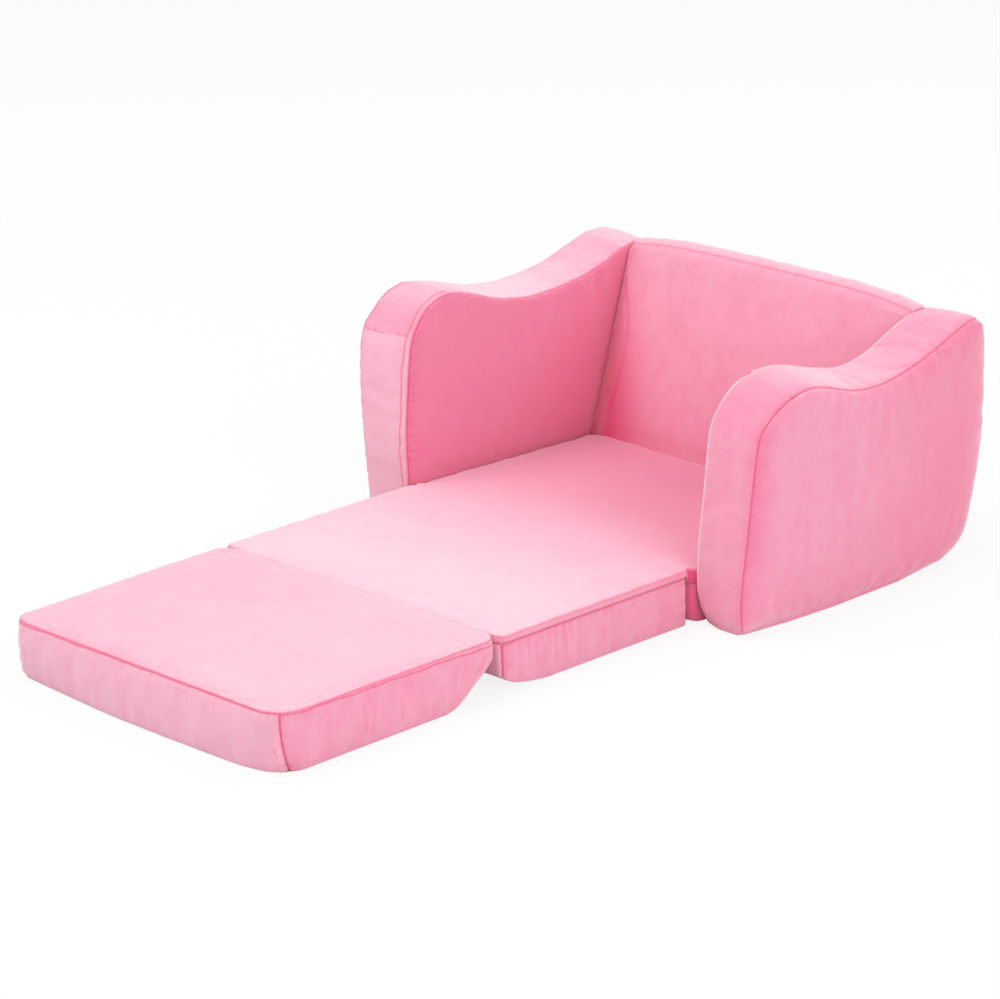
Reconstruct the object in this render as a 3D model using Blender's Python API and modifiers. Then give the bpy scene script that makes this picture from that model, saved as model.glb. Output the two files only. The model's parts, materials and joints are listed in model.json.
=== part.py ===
"""A child's flip-open foam sofa, opened flat.

A chair with two arms, a back and a low seat carries two foam panels that fold onto its seat. All sizes are
in metres, +Z is up, +X is to the right of someone who faces the chair, and +Y is to the rear. The pieces are
laid out from the fold between the seat and the middle panel, on the floor, and the whole sofa is then centred
on its footprint.
"""

import math
from dataclasses import dataclass

import bmesh
import bpy
from mathutils import Matrix, Vector
from mathutils.geometry import interpolate_bezier

# Cloth, and the gaps between pieces that are sewn together or fold past each other
CLOTH = 0.002
BASE_CLOTH = 0.0015
SEAM_GAP = 0.0003
FOLD_GAP = 0.001

# Seat
SEAT_WIDTH = 0.556
SEAT_DEPTH = 0.382
SEAM_HEIGHT = 0.078
CROWN = 0.006
CROWN_POWER = 4

# Arms
ARM_WIDTH = 0.091
ARM_HEIGHT = 0.356
ARM_OVERHANG = 0.004
ARM_CROWN = 0.005
ARM_BAND_BULGE = 0.002
ARM_CROWN_LOOP_SHARES = (0.95, 0.86, 0.72)
ARM_CROSS_SEAM_SHARE = 0.88
# Places along the arm's depth and up its height, from its front foot over the top to its rear foot
ARM_PROFILE_SHARES = (
    (0.034, 0.000),
    (0.006, 0.060),
    (0.000, 0.450),
    (0.008, 0.740),
    (0.060, 0.935),
    (0.165, 1.000),
    (0.340, 0.940),
    (0.560, 0.890),
    (0.740, 0.935),
    (0.910, 1.000),
    (0.982, 0.993),
    (0.997, 0.930),
    (1.000, 0.550),
    (0.984, 0.330),
    (0.948, 0.150),
    (0.895, 0.050),
    (0.820, 0.000),
)

# Back
BACK_RISE = 0.001
BACK_ARCH = 0.015
BACK_ARCH_POWER = 4
BACK_LEAN = 0.082
BACK_TOP_DEPTH = 0.050
BACK_CROWN = 0.006
BACK_RECESS = 0.008
BACK_REAR_SWELL = 0.016

# Folding panels
PANEL_WIDTH = 0.536
MIDDLE_LENGTH = 0.376
END_LENGTH = 0.388
CORNER_RADIUS = 0.016
SIDE_DRAW = 0.003
DRAW_FLAT_SHARE = 0.6
PANEL_BAND_BULGE = 0.002
NOTCH_HEIGHT = 0.036
MIDDLE_NOTCH = 0.050
END_NOTCH = 0.085
PANEL_SIDE_FLARE = 0.003
END_FRONT_FLARE = 0.022
FLARE_POWER = 4

# Cloth hinges
HINGE_REACH = 0.030
HINGE_ROW_SHARES = (1, 0.5)
HINGE_SIDE_INSET = 0.030
FLOOR_HINGE_SIDE_INSET = 0.090

# Zips and their sliders, which have a bridge for a clip and no pull
TAPE_WIDTH = 0.012
TAPE_THICKNESS = 0.0008
CHAIN_WIDTH = 0.005
CHAIN_HEIGHT = 0.0022
CHAIR_ZIP_LENGTH = 0.440
CHAIR_ZIP_HEIGHT = 0.190
PANEL_ZIP_LENGTH = 0.200
PANEL_ZIP_HEIGHT = 0.038
SLIDER_LENGTH = 0.009
SLIDER_WALL = 0.0012
BRIDGE_LENGTH = 0.006
BRIDGE_WIDTH = 0.002
BRIDGE_HEIGHT = 0.0016
BRIDGE_WALL = 0.0006
BRIDGE_SINK = 0.0003

# How finely the round stretches are divided
PROFILE_STEPS = 3
BACK_STATIONS = 8
BACK_FRONT_STEPS = 4

COVER = CLOTH + SEAM_GAP
CHAIR_BASE = BASE_CLOTH + SEAM_GAP
BACK_HEIGHT = ARM_HEIGHT + BACK_RISE
ARM_DEPTH = ARM_OVERHANG + SEAT_DEPTH + BACK_LEAN + BACK_TOP_DEPTH + BACK_REAR_SWELL
SEAT_HALF_WIDTH = SEAT_WIDTH / 2
ARM_OUTER = SEAT_HALF_WIDTH + ARM_WIDTH
PANEL_HALF_WIDTH = PANEL_WIDTH / 2
FOLD_HEIGHT = SEAM_HEIGHT + CROWN + FOLD_GAP / 2
FLOOR_FOLD_HEIGHT = -SEAM_GAP / 2

PLUSH = ((0.880, 0.310, 0.440), 0.85, 0.0)
FOAM = ((0.860, 0.800, 0.620), 0.95, 0.0)
UNDERSIDE = ((0.700, 0.380, 0.470), 0.90, 0.0)
NYLON = ((0.850, 0.300, 0.430), 0.45, 0.0)
ENAMEL = ((0.820, 0.300, 0.420), 0.35, 0.6)


@dataclass(frozen=True)
class Panel:
    """A folding panel: where its rear end lies, its length, and what its two ends and its sides do."""

    name: str
    rear: float
    length: float
    front_notch: float
    rear_notch: float
    side_flare: float
    front_flare: float

    @property
    def free_front(self):
        return self.front_notch == 0

    @property
    def middle(self):
        return self.rear - self.length / 2

    @property
    def floor_gap(self):
        """How far the boxing stops short of the underside, to clear the floor cloth where either slants."""
        notches = [NOTCH_HEIGHT / notch for notch in (self.front_notch, self.rear_notch) if notch]
        flare = max(self.front_flare, self.side_flare) / SEAM_HEIGHT
        return CHAIR_BASE * math.hypot(1, max([*notches, flare])) + CLOTH * flare


MIDDLE = Panel(
    name="middle",
    rear=-FOLD_GAP / 2,
    length=MIDDLE_LENGTH - FOLD_GAP,
    front_notch=MIDDLE_NOTCH,
    rear_notch=0,
    side_flare=PANEL_SIDE_FLARE,
    front_flare=0,
)
END = Panel(
    name="end",
    rear=-MIDDLE_LENGTH - FOLD_GAP / 2,
    length=END_LENGTH,
    front_notch=0,
    rear_notch=END_NOTCH,
    side_flare=PANEL_SIDE_FLARE,
    front_flare=END_FRONT_FLARE,
)


def clear_scene():
    for thing in list(bpy.data.objects):
        bpy.data.objects.remove(thing)


def new_collection(name):
    made = bpy.data.collections.new(name)
    bpy.context.scene.collection.children.link(made)
    return made


def new_empty(name, place, parent=None):
    empty = bpy.data.objects.new(name, None)
    sofa.objects.link(empty)
    empty.location = place
    keep_place(empty, parent)
    return empty


def keep_place(child, parent):
    """Parents an object without moving it."""
    if parent is not None:
        bpy.context.view_layer.update()
        child.parent = parent
        child.matrix_parent_inverse = parent.matrix_world.inverted()


def new_part(name, bm, finish, parent, collection=None):
    """Turns a bmesh into one named object with a material of its own."""
    mesh = bpy.data.meshes.new(name)
    bm.to_mesh(mesh)
    bm.free()
    part = bpy.data.objects.new(name, mesh)
    (collection or sofa).objects.link(part)
    colour, roughness, metallic = finish
    material = bpy.data.materials.new(name)
    material.use_nodes = True
    shader = material.node_tree.nodes["Principled BSDF"]
    shader.inputs["Base Color"].default_value = (*colour, 1)
    shader.inputs["Roughness"].default_value = roughness
    shader.inputs["Metallic"].default_value = metallic
    mesh.materials.append(material)
    mesh.shade_smooth()
    mesh.set_sharp_from_angle(angle=math.radians(40))
    keep_place(part, parent)
    return part


def thicken(part, thickness):
    """Gives an open surface its cloth thickness, on its inner side."""
    wall = part.modifiers.new("Cloth", "SOLIDIFY")
    wall.thickness = thickness
    wall.offset = -1
    wall.use_even_offset = True


def new_cloth(name, bm, parent, thickness=CLOTH, finish=PLUSH):
    part = new_part(name, bm, finish, parent)
    thicken(part, thickness)
    return part


def loft(rows, closed=True, capped=False):
    """A surface through rows of points, each with as many points as the next. Closed rows are rings."""
    bm = bmesh.new()
    ring = [bm.verts.new(point) for point in rows[0]]
    followers = ring[1:] + ring[:1] if closed else ring[1:]
    edges = [bm.edges.new(pair) for pair in zip(ring, followers)]
    rims = [edges]
    for row in rows[1:]:
        made = bmesh.ops.extrude_edge_only(bm, edges=edges)["geom"]
        fresh = {item for item in made if isinstance(item, bmesh.types.BMVert)}
        above = {}
        for vert in fresh:
            for edge in vert.link_edges:
                if edge.other_vert(vert) not in fresh:
                    above[edge.other_vert(vert)] = vert
        ring = [above[vert] for vert in ring]
        for vert, point in zip(ring, row):
            vert.co = point
        edges = [item for item in made if isinstance(item, bmesh.types.BMEdge)]
        rims.append(edges)
    if capped:
        bmesh.ops.edgeloop_fill(bm, edges=rims[0])
        bmesh.ops.edgeloop_fill(bm, edges=rims[-1])
        bmesh.ops.recalc_face_normals(bm, faces=bm.faces)
    return bm


def face_outwards(bm, inside):
    """Turns an open surface so that its faces look away from a point."""
    bm.normal_update()
    outward = 0
    for face in bm.faces:
        outward += face.calc_area() * face.normal.dot(face.calc_center_median() - inside)
    if outward < 0:
        bmesh.ops.reverse_faces(bm, faces=bm.faces)


def shrink(bm, distance):
    """Draws a closed form in by an even distance, to make room for its cover."""
    bm.normal_update()
    moves = [(vert, vert.normal * vert.calc_shell_factor() * distance) for vert in bm.verts]
    for vert, move in moves:
        vert.co -= move


def cut_box(low, high, cuts):
    """A box with loop cuts at the given places along X, Y and Z."""
    bm = bmesh.new()
    bmesh.ops.create_cube(bm, size=1)
    centre = (Vector(low) + Vector(high)) / 2
    bmesh.ops.scale(bm, vec=Vector(high) - Vector(low), verts=bm.verts)
    bmesh.ops.translate(bm, vec=centre, verts=bm.verts)
    for axis, places in enumerate(cuts):
        for place in places:
            point, normal = Vector(), Vector()
            point[axis] = place
            normal[axis] = 1
            whole = [*bm.verts, *bm.edges, *bm.faces]
            bmesh.ops.bisect_plane(bm, geom=whole, plane_co=point, plane_no=normal)
    return bm


def keep_faces(bm, wanted):
    """Deletes every face that the test turns down."""
    bm.normal_update()
    unwanted = [face for face in bm.faces if not wanted(face)]
    bmesh.ops.delete(bm, geom=unwanted, context="FACES")


def verts_at(bm, points):
    """The points of a surface that lie where the given points are."""
    return [vert for vert in bm.verts if any((vert.co - point).length < SEAM_GAP for point in points)]


def pull_back(border, distance):
    """Moves the points of a border along the surface, away from the seam that they lie on."""
    border = set(border)
    moves = []
    for vert in border:
        inner = [edge.other_vert(vert) for edge in vert.link_edges if edge.other_vert(vert) not in border]
        if inner:
            moves.append((vert, (inner[0].co - vert.co).normalized() * distance))
    for vert, move in moves:
        vert.co += move


def smooth_run(points):
    """A smooth open run through points, whose handles are a third of the way to each neighbour."""
    last = len(points) - 1
    tangents = [(points[min(i + 1, last)] - points[max(i - 1, 0)]).normalized() for i in range(last + 1)]
    run = [points[0]]
    for i in range(last):
        reach = (points[i + 1] - points[i]).length / 3
        start, end = points[i] + tangents[i] * reach, points[i + 1] - tangents[i + 1] * reach
        run += interpolate_bezier(points[i], start, end, points[i + 1], PROFILE_STEPS + 1)[1:]
    return run


def arm_profile():
    """The arm's side outline in Y and Z, from its front foot over the top to its rear foot."""
    height = ARM_HEIGHT - CHAIR_BASE
    points = []
    for depth, rise in ARM_PROFILE_SHARES:
        points.append(Vector((depth * ARM_DEPTH - ARM_OVERHANG, CHAIR_BASE + rise * height)))
    return smooth_run(points)


def inset(outline, distance):
    """A closed outline in Y and Z drawn in by an even distance; a negative distance swells it."""
    count = len(outline)
    moved = []
    for i, point in enumerate(outline):
        before = (point - outline[i - 1]).normalized()
        after = (outline[(i + 1) % count] - point).normalized()
        inward = Vector((before.y + after.y, -before.x - after.x)).normalized()
        square = Vector((after.y, -after.x))
        moved.append(point + inward * distance / max(inward.dot(square), 0.5))
    return moved


def on_feet(outline, distance):
    """The arm's outline drawn in or swollen, with its two feet kept on the floor cloth."""
    moved = inset(outline, distance)
    for foot, above in ((moved[0], moved[1]), (moved[-1], moved[-2])):
        foot += (foot - above) * (foot.y - outline[0].y) / (above.y - foot.y)
    return moved


def at_side(outline, x):
    return [Vector((x, point.x, point.y)) for point in outline]


def scaled(outline, share):
    """An outline drawn in towards its middle."""
    middle = Vector((ARM_DEPTH / 2 - ARM_OVERHANG, ARM_HEIGHT / 2))
    return [middle + (point - middle) * share for point in outline]


def arm_crown_rows(outline, side, lift):
    """Rings of the arm's outer face, each further in and further out from the seam."""
    flat = ARM_CROWN_LOOP_SHARES[-1]
    rows = []
    for share in ARM_CROWN_LOOP_SHARES:
        fall = (share - flat) / (1 - flat)
        rows.append(at_side(scaled(outline, share), side * (ARM_OUTER + ARM_CROWN * (1 - fall**2) - lift)))
    return rows


def make_arm(side, label):
    """One arm: its foam, an inner and an outer side panel, and the boxing between them in two lengths."""
    profile = arm_profile()
    middle = Vector((side * (SEAT_HALF_WIDTH + ARM_WIDTH / 2), ARM_DEPTH / 2, ARM_HEIGHT / 2))
    inner, outer = SEAT_HALF_WIDTH + COVER, ARM_OUTER - COVER
    bulges = (0, ARM_BAND_BULGE, ARM_BAND_BULGE, 0)
    last = len(bulges) - 1
    stations = [inner + (outer - inner) * step / last for step in range(len(bulges))]

    rows = [at_side(on_feet(profile, COVER - bulge), side * x) for x, bulge in zip(stations, bulges)]
    rows += arm_crown_rows(profile, side, COVER)
    new_part(f"{label}_arm_foam", loft(rows, capped=True), FOAM, chair)

    seams = [at_side(profile, side * ARM_OUTER)] + arm_crown_rows(profile, side, 0)
    bm = loft(seams)
    bmesh.ops.edgeloop_fill(bm, edges=[edge for edge in bm.edges if in_plane(edge, seams[-1][0].x)])
    face_outwards(bm, middle)
    new_cloth(f"{label}_arm_outer_panel", bm, chair)

    bm = bmesh.new()
    outline = [bm.verts.new(point) for point in at_side(profile, side * SEAT_HALF_WIDTH)]
    bmesh.ops.contextual_create(bm, geom=outline)
    face_outwards(bm, middle)
    new_cloth(f"{label}_arm_inner_panel", bm, chair)

    strips = [at_side(on_feet(profile, -bulge), side * x) for x, bulge in zip(stations, bulges)]
    seam = cross_seam_index(profile)
    for name, start, stop in (("front", 0, seam), ("top", seam, len(profile) - 1)):
        bm = loft([row[start : stop + 1] for row in strips], closed=False)
        pull_back(verts_at(bm, [row[seam] for row in strips]), CLOTH / 2)
        face_outwards(bm, middle)
        new_cloth(f"{label}_arm_{name}_boxing", bm, chair)


def in_plane(edge, x):
    return all(abs(vert.co.x - x) < SEAM_GAP for vert in edge.verts)


def cross_seam_index(profile):
    """The first point up the arm's front that reaches the height of the seam across its boxing."""
    height = ARM_CROSS_SEAM_SHARE * ARM_HEIGHT
    return next(i for i, point in enumerate(profile) if point.y > height)


def back_runs(x):
    """The back's front, top and rear runs of points at one place across its width."""
    half = SEAT_HALF_WIDTH - SEAM_GAP
    swell = 1 - (x / half) ** 2
    top = BACK_HEIGHT + BACK_ARCH * (1 - (x / half) ** BACK_ARCH_POWER)
    front = [Vector((x, SEAT_DEPTH, CHAIR_BASE))]
    for step in range(BACK_FRONT_STEPS + 1):
        share = step / BACK_FRONT_STEPS
        puff = BACK_CROWN * 4 * share * (1 - share) * swell
        height = SEAM_HEIGHT + (top - SEAM_HEIGHT) * share
        front.append(Vector((x, SEAT_DEPTH + BACK_LEAN * share - puff, height)))
    front_seam = front[-1]
    rear_seam = front_seam + Vector((0, BACK_TOP_DEPTH, 0))
    ridge = (front_seam + rear_seam) / 2 + Vector((0, 0, ARM_BAND_BULGE))
    arm_rear = [point for point in arm_profile() if point.x > SEAT_DEPTH and point.y < ARM_HEIGHT / 2]
    rear = [rear_seam] + [Vector((x, point.x - BACK_RECESS, point.y)) for point in arm_rear]
    return front, [front_seam, ridge, rear_seam], rear


def make_back():
    """The back: foam that reaches the floor cloth, a front panel, a top boxing and a rear panel."""
    half = SEAT_HALF_WIDTH - SEAM_GAP
    places = [half * (2 * i / BACK_STATIONS - 1) for i in range(BACK_STATIONS + 1)]
    runs = [back_runs(x) for x in places]
    bm = loft([front + top[1:] + rear[1:] for front, top, rear in runs], capped=True)
    shrink(bm, COVER)
    new_part("back_foam", bm, FOAM, chair)
    middle = Vector((0, SEAT_DEPTH + (BACK_LEAN + BACK_TOP_DEPTH) / 2, BACK_HEIGHT / 2))
    for index, name in enumerate(("back_front_panel", "back_top_boxing", "back_rear_panel")):
        rows = [list(row) for row in zip(*[run[index] for run in runs])]
        bm = loft(rows, closed=False)
        if name == "back_top_boxing":
            for row in (rows[0], rows[-1]):
                pull_back(verts_at(bm, row), COVER)
        face_outwards(bm, middle)
        new_cloth(name, bm, chair)


def top_rise(x):
    """How far the seat and the panels swell above their seam at one place across their width."""
    return CROWN * (1 - min(abs(x) / PANEL_HALF_WIDTH, 1) ** CROWN_POWER)


def across_cuts():
    """Places across a panel's width for its loop cuts, closer together round its corners."""
    edge = PANEL_HALF_WIDTH - CORNER_RADIUS
    half = (edge / 2, edge, edge + CORNER_RADIUS / 2)
    return [-x for x in reversed(half)] + [0] + list(half)


def make_seat():
    """The seat: foam between the arms, its top panel and the panel across its front."""
    half, front, rear = SEAT_HALF_WIDTH - SEAM_GAP, FOLD_GAP / 2, SEAT_DEPTH - SEAM_GAP
    strip = PANEL_HALF_WIDTH - HINGE_SIDE_INSET + SEAM_GAP
    reach = HINGE_REACH + SEAM_GAP
    cuts = sorted([*across_cuts(), -strip, strip])

    bm = cut_box((-half, front + COVER, CHAIR_BASE), (half, rear, SEAM_HEIGHT - COVER), (cuts, (), ()))
    for vert in bm.verts:
        if vert.co.z > CHAIR_BASE:
            vert.co.z += top_rise(vert.co.x)
    new_part("seat_foam", bm, FOAM, chair)

    bm = cut_box((-half, front, 0), (half, rear, SEAM_HEIGHT), (cuts, (reach,), ()))
    keep_faces(bm, lambda face: face.normal.z > 0.5 and not under_strip(face, strip, reach))
    for vert in bm.verts:
        vert.co.z += top_rise(vert.co.x)
    new_cloth("seat_top_panel", bm, chair)

    low, high = (-half, front, CHAIR_BASE), (half, rear, SEAM_HEIGHT - COVER)
    bm = cut_box(low, high, (cuts, (), ()))
    keep_faces(bm, lambda face: face.normal.y < -0.5)
    for vert in bm.verts:
        if vert.co.z > CHAIR_BASE:
            vert.co.z += top_rise(vert.co.x)
    new_cloth("seat_front_panel", bm, chair)


def under_strip(face, strip, reach):
    """Whether a face lies where the cloth hinge of the first fold takes its place."""
    centre = face.calc_center_median()
    return abs(centre.x) < strip and abs(centre.y) < reach


def rounded_corner(x, y, half_x, half_y):
    """Moves a point of a rectangle so that the rectangle's corners become quarter circles."""
    a = (abs(x) - half_x + CORNER_RADIUS) / CORNER_RADIUS
    b = (abs(y) - half_y + CORNER_RADIUS) / CORNER_RADIUS
    if a <= 0 or b <= 0:
        return x, y
    round_x = half_x - CORNER_RADIUS + CORNER_RADIUS * a * math.sqrt(1 - b * b / 2)
    round_y = half_y - CORNER_RADIUS + CORNER_RADIUS * b * math.sqrt(1 - a * a / 2)
    return math.copysign(round_x, x), math.copysign(round_y, y)


def drawn_in(share):
    """How far a side pulls in between its corners: all of it along its middle, and none at its ends."""
    ease = min((1 - abs(share)) / (1 - DRAW_FLAT_SHARE), 1)
    return SIDE_DRAW * ease * (2 - ease)


def panel_floor(panel, y):
    """Height of a panel's underside, which rises towards an end that has a notch."""
    floor = 0
    for notch, distance in (
        (panel.front_notch, y - panel.middle + panel.length / 2),
        (panel.rear_notch, panel.middle + panel.length / 2 - y),
    ):
        if notch:
            floor = max(floor, NOTCH_HEIGHT * (1 - distance / notch))
    return floor


def panel_point(panel, place):
    """Where a point of the plain box around a panel goes in the sewn panel."""
    half = panel.length / 2
    u, v, w = place.x / PANEL_HALF_WIDTH, (place.y - panel.middle) / half, place.z / SEAM_HEIGHT
    x, y = rounded_corner(place.x, place.y - panel.middle, PANEL_HALF_WIDTH, half)
    swell = PANEL_BAND_BULGE * 4 * w * (1 - w)
    x += u * (panel.side_flare * (1 - w) + swell - drawn_in(v))
    if panel.free_front and v < 0:
        y += v * (panel.front_flare * (1 - w) * (1 - u**FLARE_POWER) + swell - drawn_in(u))
    floor = panel_floor(panel, panel.middle + y)
    height = floor + w * (SEAM_HEIGHT - floor)
    if SEAM_HEIGHT - place.z < SEAM_GAP / 2:
        fades = min(v, 0) if panel.rear_notch == 0 else v
        height += top_rise(place.x) * (1 - abs(fades) ** CROWN_POWER)
    return Vector((x, panel.middle + y, height))


def panel_box(panel, more_across=(), more_along=()):
    """The plain box around a panel, with loop cuts for its corners, its notch and its swelling."""
    half, edge = panel.length / 2, panel.length / 2 - CORNER_RADIUS
    along = [0, half * DRAW_FLAT_SHARE, edge, edge + CORNER_RADIUS / 2]
    places = [panel.middle + y for y in along] + [panel.middle - y for y in along[1:]]
    if panel.front_notch:
        places.append(panel.middle - half + panel.front_notch)
    if panel.rear_notch:
        places.append(panel.middle + half - panel.rear_notch)
    low = (-PANEL_HALF_WIDTH, panel.middle - half, 0)
    high = (PANEL_HALF_WIDTH, panel.middle + half, SEAM_HEIGHT)
    up = (SEAM_HEIGHT / 3, SEAM_HEIGHT * 2 / 3)
    return cut_box(low, high, (sorted([*across_cuts(), *more_across]), sorted([*places, *more_along]), up))


def on_box(vert, panel, side):
    """Whether a point of the plain box lies on one of its sides, named by a direction."""
    half = panel.length / 2
    reach = {
        "left": vert.co.x + PANEL_HALF_WIDTH,
        "right": PANEL_HALF_WIDTH - vert.co.x,
        "front": vert.co.y - panel.middle + half,
        "rear": panel.middle + half - vert.co.y,
        "bottom": vert.co.z,
        "top": SEAM_HEIGHT - vert.co.z,
    }
    return abs(reach[side]) < SEAM_GAP / 2


def shape_panel(bm, panel, borders=()):
    """Shapes the plain box into the panel, then pulls each named border back from its seam."""
    edges = [([vert for vert in bm.verts if on_box(vert, panel, side)], gap) for side, gap in borders]
    for vert in bm.verts:
        vert.co = panel_point(panel, vert.co)
    for border, gap in edges:
        pull_back(border, gap)


def make_panel(panel, body):
    """A folding panel: foam, a top panel, boxing on its four sides and a floor cloth."""
    bm = panel_box(panel)
    shape_panel(bm, panel)
    shrink(bm, COVER)
    new_part(f"{panel.name}_foam", bm, FOAM, body)

    if panel is MIDDLE:
        strip = PANEL_HALF_WIDTH - HINGE_SIDE_INSET + SEAM_GAP
        reach = HINGE_REACH + SEAM_GAP
        bm = panel_box(panel, (-strip, strip), (-reach,))
        keep_faces(bm, lambda face: face.normal.z > 0.5 and not under_strip(face, strip, reach))
    else:
        bm = panel_box(panel)
        keep_faces(bm, lambda face: face.normal.z > 0.5)
    shape_panel(bm, panel)
    new_cloth(f"{panel.name}_top_panel", bm, body)

    bm = panel_box(panel)
    keep_faces(bm, lambda face: face.normal.z < -0.5)
    shape_panel(bm, panel)
    new_cloth(f"{panel.name}_floor_cloth", bm, body, BASE_CLOTH, UNDERSIDE)

    for side, axis, sign, corners in (
        ("left", 0, -1, ("front", "rear")),
        ("right", 0, 1, ("front", "rear")),
        ("front", 1, -1, ("left", "right")),
        ("rear", 1, 1, ("left", "right")),
    ):
        bm = panel_box(panel)
        keep_faces(bm, lambda face: face.normal[axis] * sign > 0.5)
        borders = [("top", COVER), ("bottom", panel.floor_gap)] + [(corner, COVER) for corner in corners]
        shape_panel(bm, panel, borders)
        new_cloth(f"{panel.name}_{side}_boxing", bm, body)


def make_seat_hinge():
    """The cloth hinge of the first fold, let into the top of the seat and of the middle panel."""
    half = PANEL_HALF_WIDTH - HINGE_SIDE_INSET
    places = [half * (2 * i / BACK_STATIONS - 1) for i in range(BACK_STATIONS + 1)]
    rows = [
        [panel_point(MIDDLE, Vector((x, -HINGE_REACH * share, SEAM_HEIGHT))) for x in places]
        for share in HINGE_ROW_SHARES
    ]
    rows += [[Vector((x, y, SEAM_HEIGHT + top_rise(x))) for x in places] for y in (0, HINGE_REACH)]
    bm = loft(rows, closed=False)
    face_outwards(bm, Vector())
    new_cloth("seat_fold_hinge", bm, chair)


def make_floor_hinge():
    """The cloth hinge of the second fold, on the floor under the notch between the two panels."""
    lift = (BASE_CLOTH + SEAM_GAP) / NOTCH_HEIGHT
    rear = -MIDDLE_LENGTH + FOLD_GAP / 2 + MIDDLE_NOTCH * (1 - lift) - SEAM_GAP
    front = -MIDDLE_LENGTH - FOLD_GAP / 2 - END_NOTCH * (1 - lift) + SEAM_GAP
    half = PANEL_HALF_WIDTH - FLOOR_HINGE_SIDE_INSET
    bm = cut_box((-half, front, 0), (half, rear, BASE_CLOTH), ((), (-MIDDLE_LENGTH,), ()))
    new_part("floor_fold_hinge", bm, UNDERSIDE, middle_fold)


def make_floor_cloth():
    """The one floor cloth under the arms, the seat and the back."""
    feet = arm_profile()
    half = ARM_OUTER - COVER
    bm = cut_box((-half, feet[0].x, 0), (half, feet[-1].x, BASE_CLOTH), ((), (), ()))
    upright = [edge for edge in bm.edges if abs(edge.verts[0].co.z - edge.verts[1].co.z) > BASE_CLOTH / 2]
    bmesh.ops.bevel(
        bm, geom=upright, offset=CORNER_RADIUS, segments=PROFILE_STEPS, profile=0.5, affect="EDGES"
    )
    new_part("chair_floor_cloth", bm, UNDERSIDE, chair)


def prism(outline, frame, half_length):
    """A straight bar. The frame's X runs across its outline, Y out of it, and Z along the bar."""
    rows = [[frame @ Vector((x, y, z)) for x, y in outline] for z in (-half_length, half_length)]
    return loft(rows, capped=True)


def zip_outline():
    """Half tape, chain, half tape, seen along the zip."""
    tape, chain = TAPE_WIDTH / 2, CHAIN_WIDTH / 2
    return (
        (-tape, 0),
        (tape, 0),
        (tape, TAPE_THICKNESS),
        (chain, TAPE_THICKNESS),
        (chain, CHAIN_HEIGHT),
        (-chain, CHAIN_HEIGHT),
        (-chain, TAPE_THICKNESS),
        (-tape, TAPE_THICKNESS),
    )


def channel(inner, outer, low, under, top):
    """An upside-down U: its half width inside and out, and the heights of its feet, its hollow and its top."""
    hollow = ((-outer, low), (-inner, low), (-inner, under), (inner, under), (inner, low))
    return (*hollow, (outer, low), (outer, top), (-outer, top))


def slider_outline():
    """The slider's channel, which straddles the chain, seen along the zip."""
    inner = CHAIN_WIDTH / 2 + SEAM_GAP
    outer = inner + SLIDER_WALL
    low = TAPE_THICKNESS + SEAM_GAP
    under = CHAIN_HEIGHT + SEAM_GAP
    return channel(inner, outer, low, under, under + SLIDER_WALL)


def bridge_outline():
    """The slider's bridge, seen from its side."""
    foot = CHAIN_HEIGHT + SEAM_GAP + SLIDER_WALL
    half = BRIDGE_LENGTH / 2
    top = foot + BRIDGE_HEIGHT
    return channel(half - BRIDGE_WALL, half, foot - BRIDGE_SINK, top - BRIDGE_WALL, top)


def make_zip(name, place, along, outward, length, body):
    """A zip on the face of a cover, with its slider at the end that its direction starts from."""
    across = outward.cross(along)
    frame = Matrix((across, outward, along)).transposed().to_4x4()
    frame.translation = place
    new_part(f"{name}_zip", prism(zip_outline(), frame, length / 2), NYLON, body)

    start = place - along * (length - SLIDER_LENGTH) / 2
    frame.translation = start
    moving = new_empty(f"{name}_slider_track", start, body)
    bm = prism(slider_outline(), frame, SLIDER_LENGTH / 2)
    slider = new_part(f"{name}_zip_slider", bm, ENAMEL, moving)
    side_frame = Matrix((along, outward, -across)).transposed().to_4x4()
    side_frame.translation = start
    bridge = new_part(
        f"{name}_bridge", prism(bridge_outline(), side_frame, BRIDGE_WIDTH / 2), ENAMEL, moving, cutters
    )
    bridge.hide_render = True
    bridge.display_type = "WIRE"
    joined = slider.modifiers.new("Bridge", "BOOLEAN")
    joined.operation = "UNION"
    joined.object = bridge


def make_zips():
    rear = back_runs(0)[2]
    low = next(i for i, point in enumerate(rear) if point.z < CHAIR_ZIP_HEIGHT)
    along_face = rear[low - 1] - rear[low]
    outward = Vector((0, along_face.z, -along_face.y)).normalized()
    share = (CHAIR_ZIP_HEIGHT - rear[low].z) / along_face.z
    place = rear[low] + along_face * share + outward * SEAM_GAP
    make_zip("chair", place, Vector((1, 0, 0)), outward, CHAIR_ZIP_LENGTH, chair)
    for panel, body in ((MIDDLE, middle_fold), (END, end_fold)):
        share = PANEL_ZIP_HEIGHT / SEAM_HEIGHT
        flare = panel.side_flare * (1 - (PANEL_ZIP_HEIGHT - TAPE_WIDTH / 2) / SEAM_HEIGHT)
        side = PANEL_HALF_WIDTH - SIDE_DRAW + PANEL_BAND_BULGE * 4 * share * (1 - share) + flare + SEAM_GAP
        place = Vector((-side, panel.middle, PANEL_ZIP_HEIGHT))
        make_zip(panel.name, place, Vector((0, -1, 0)), Vector((-1, 0, 0)), PANEL_ZIP_LENGTH, body)


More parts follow.
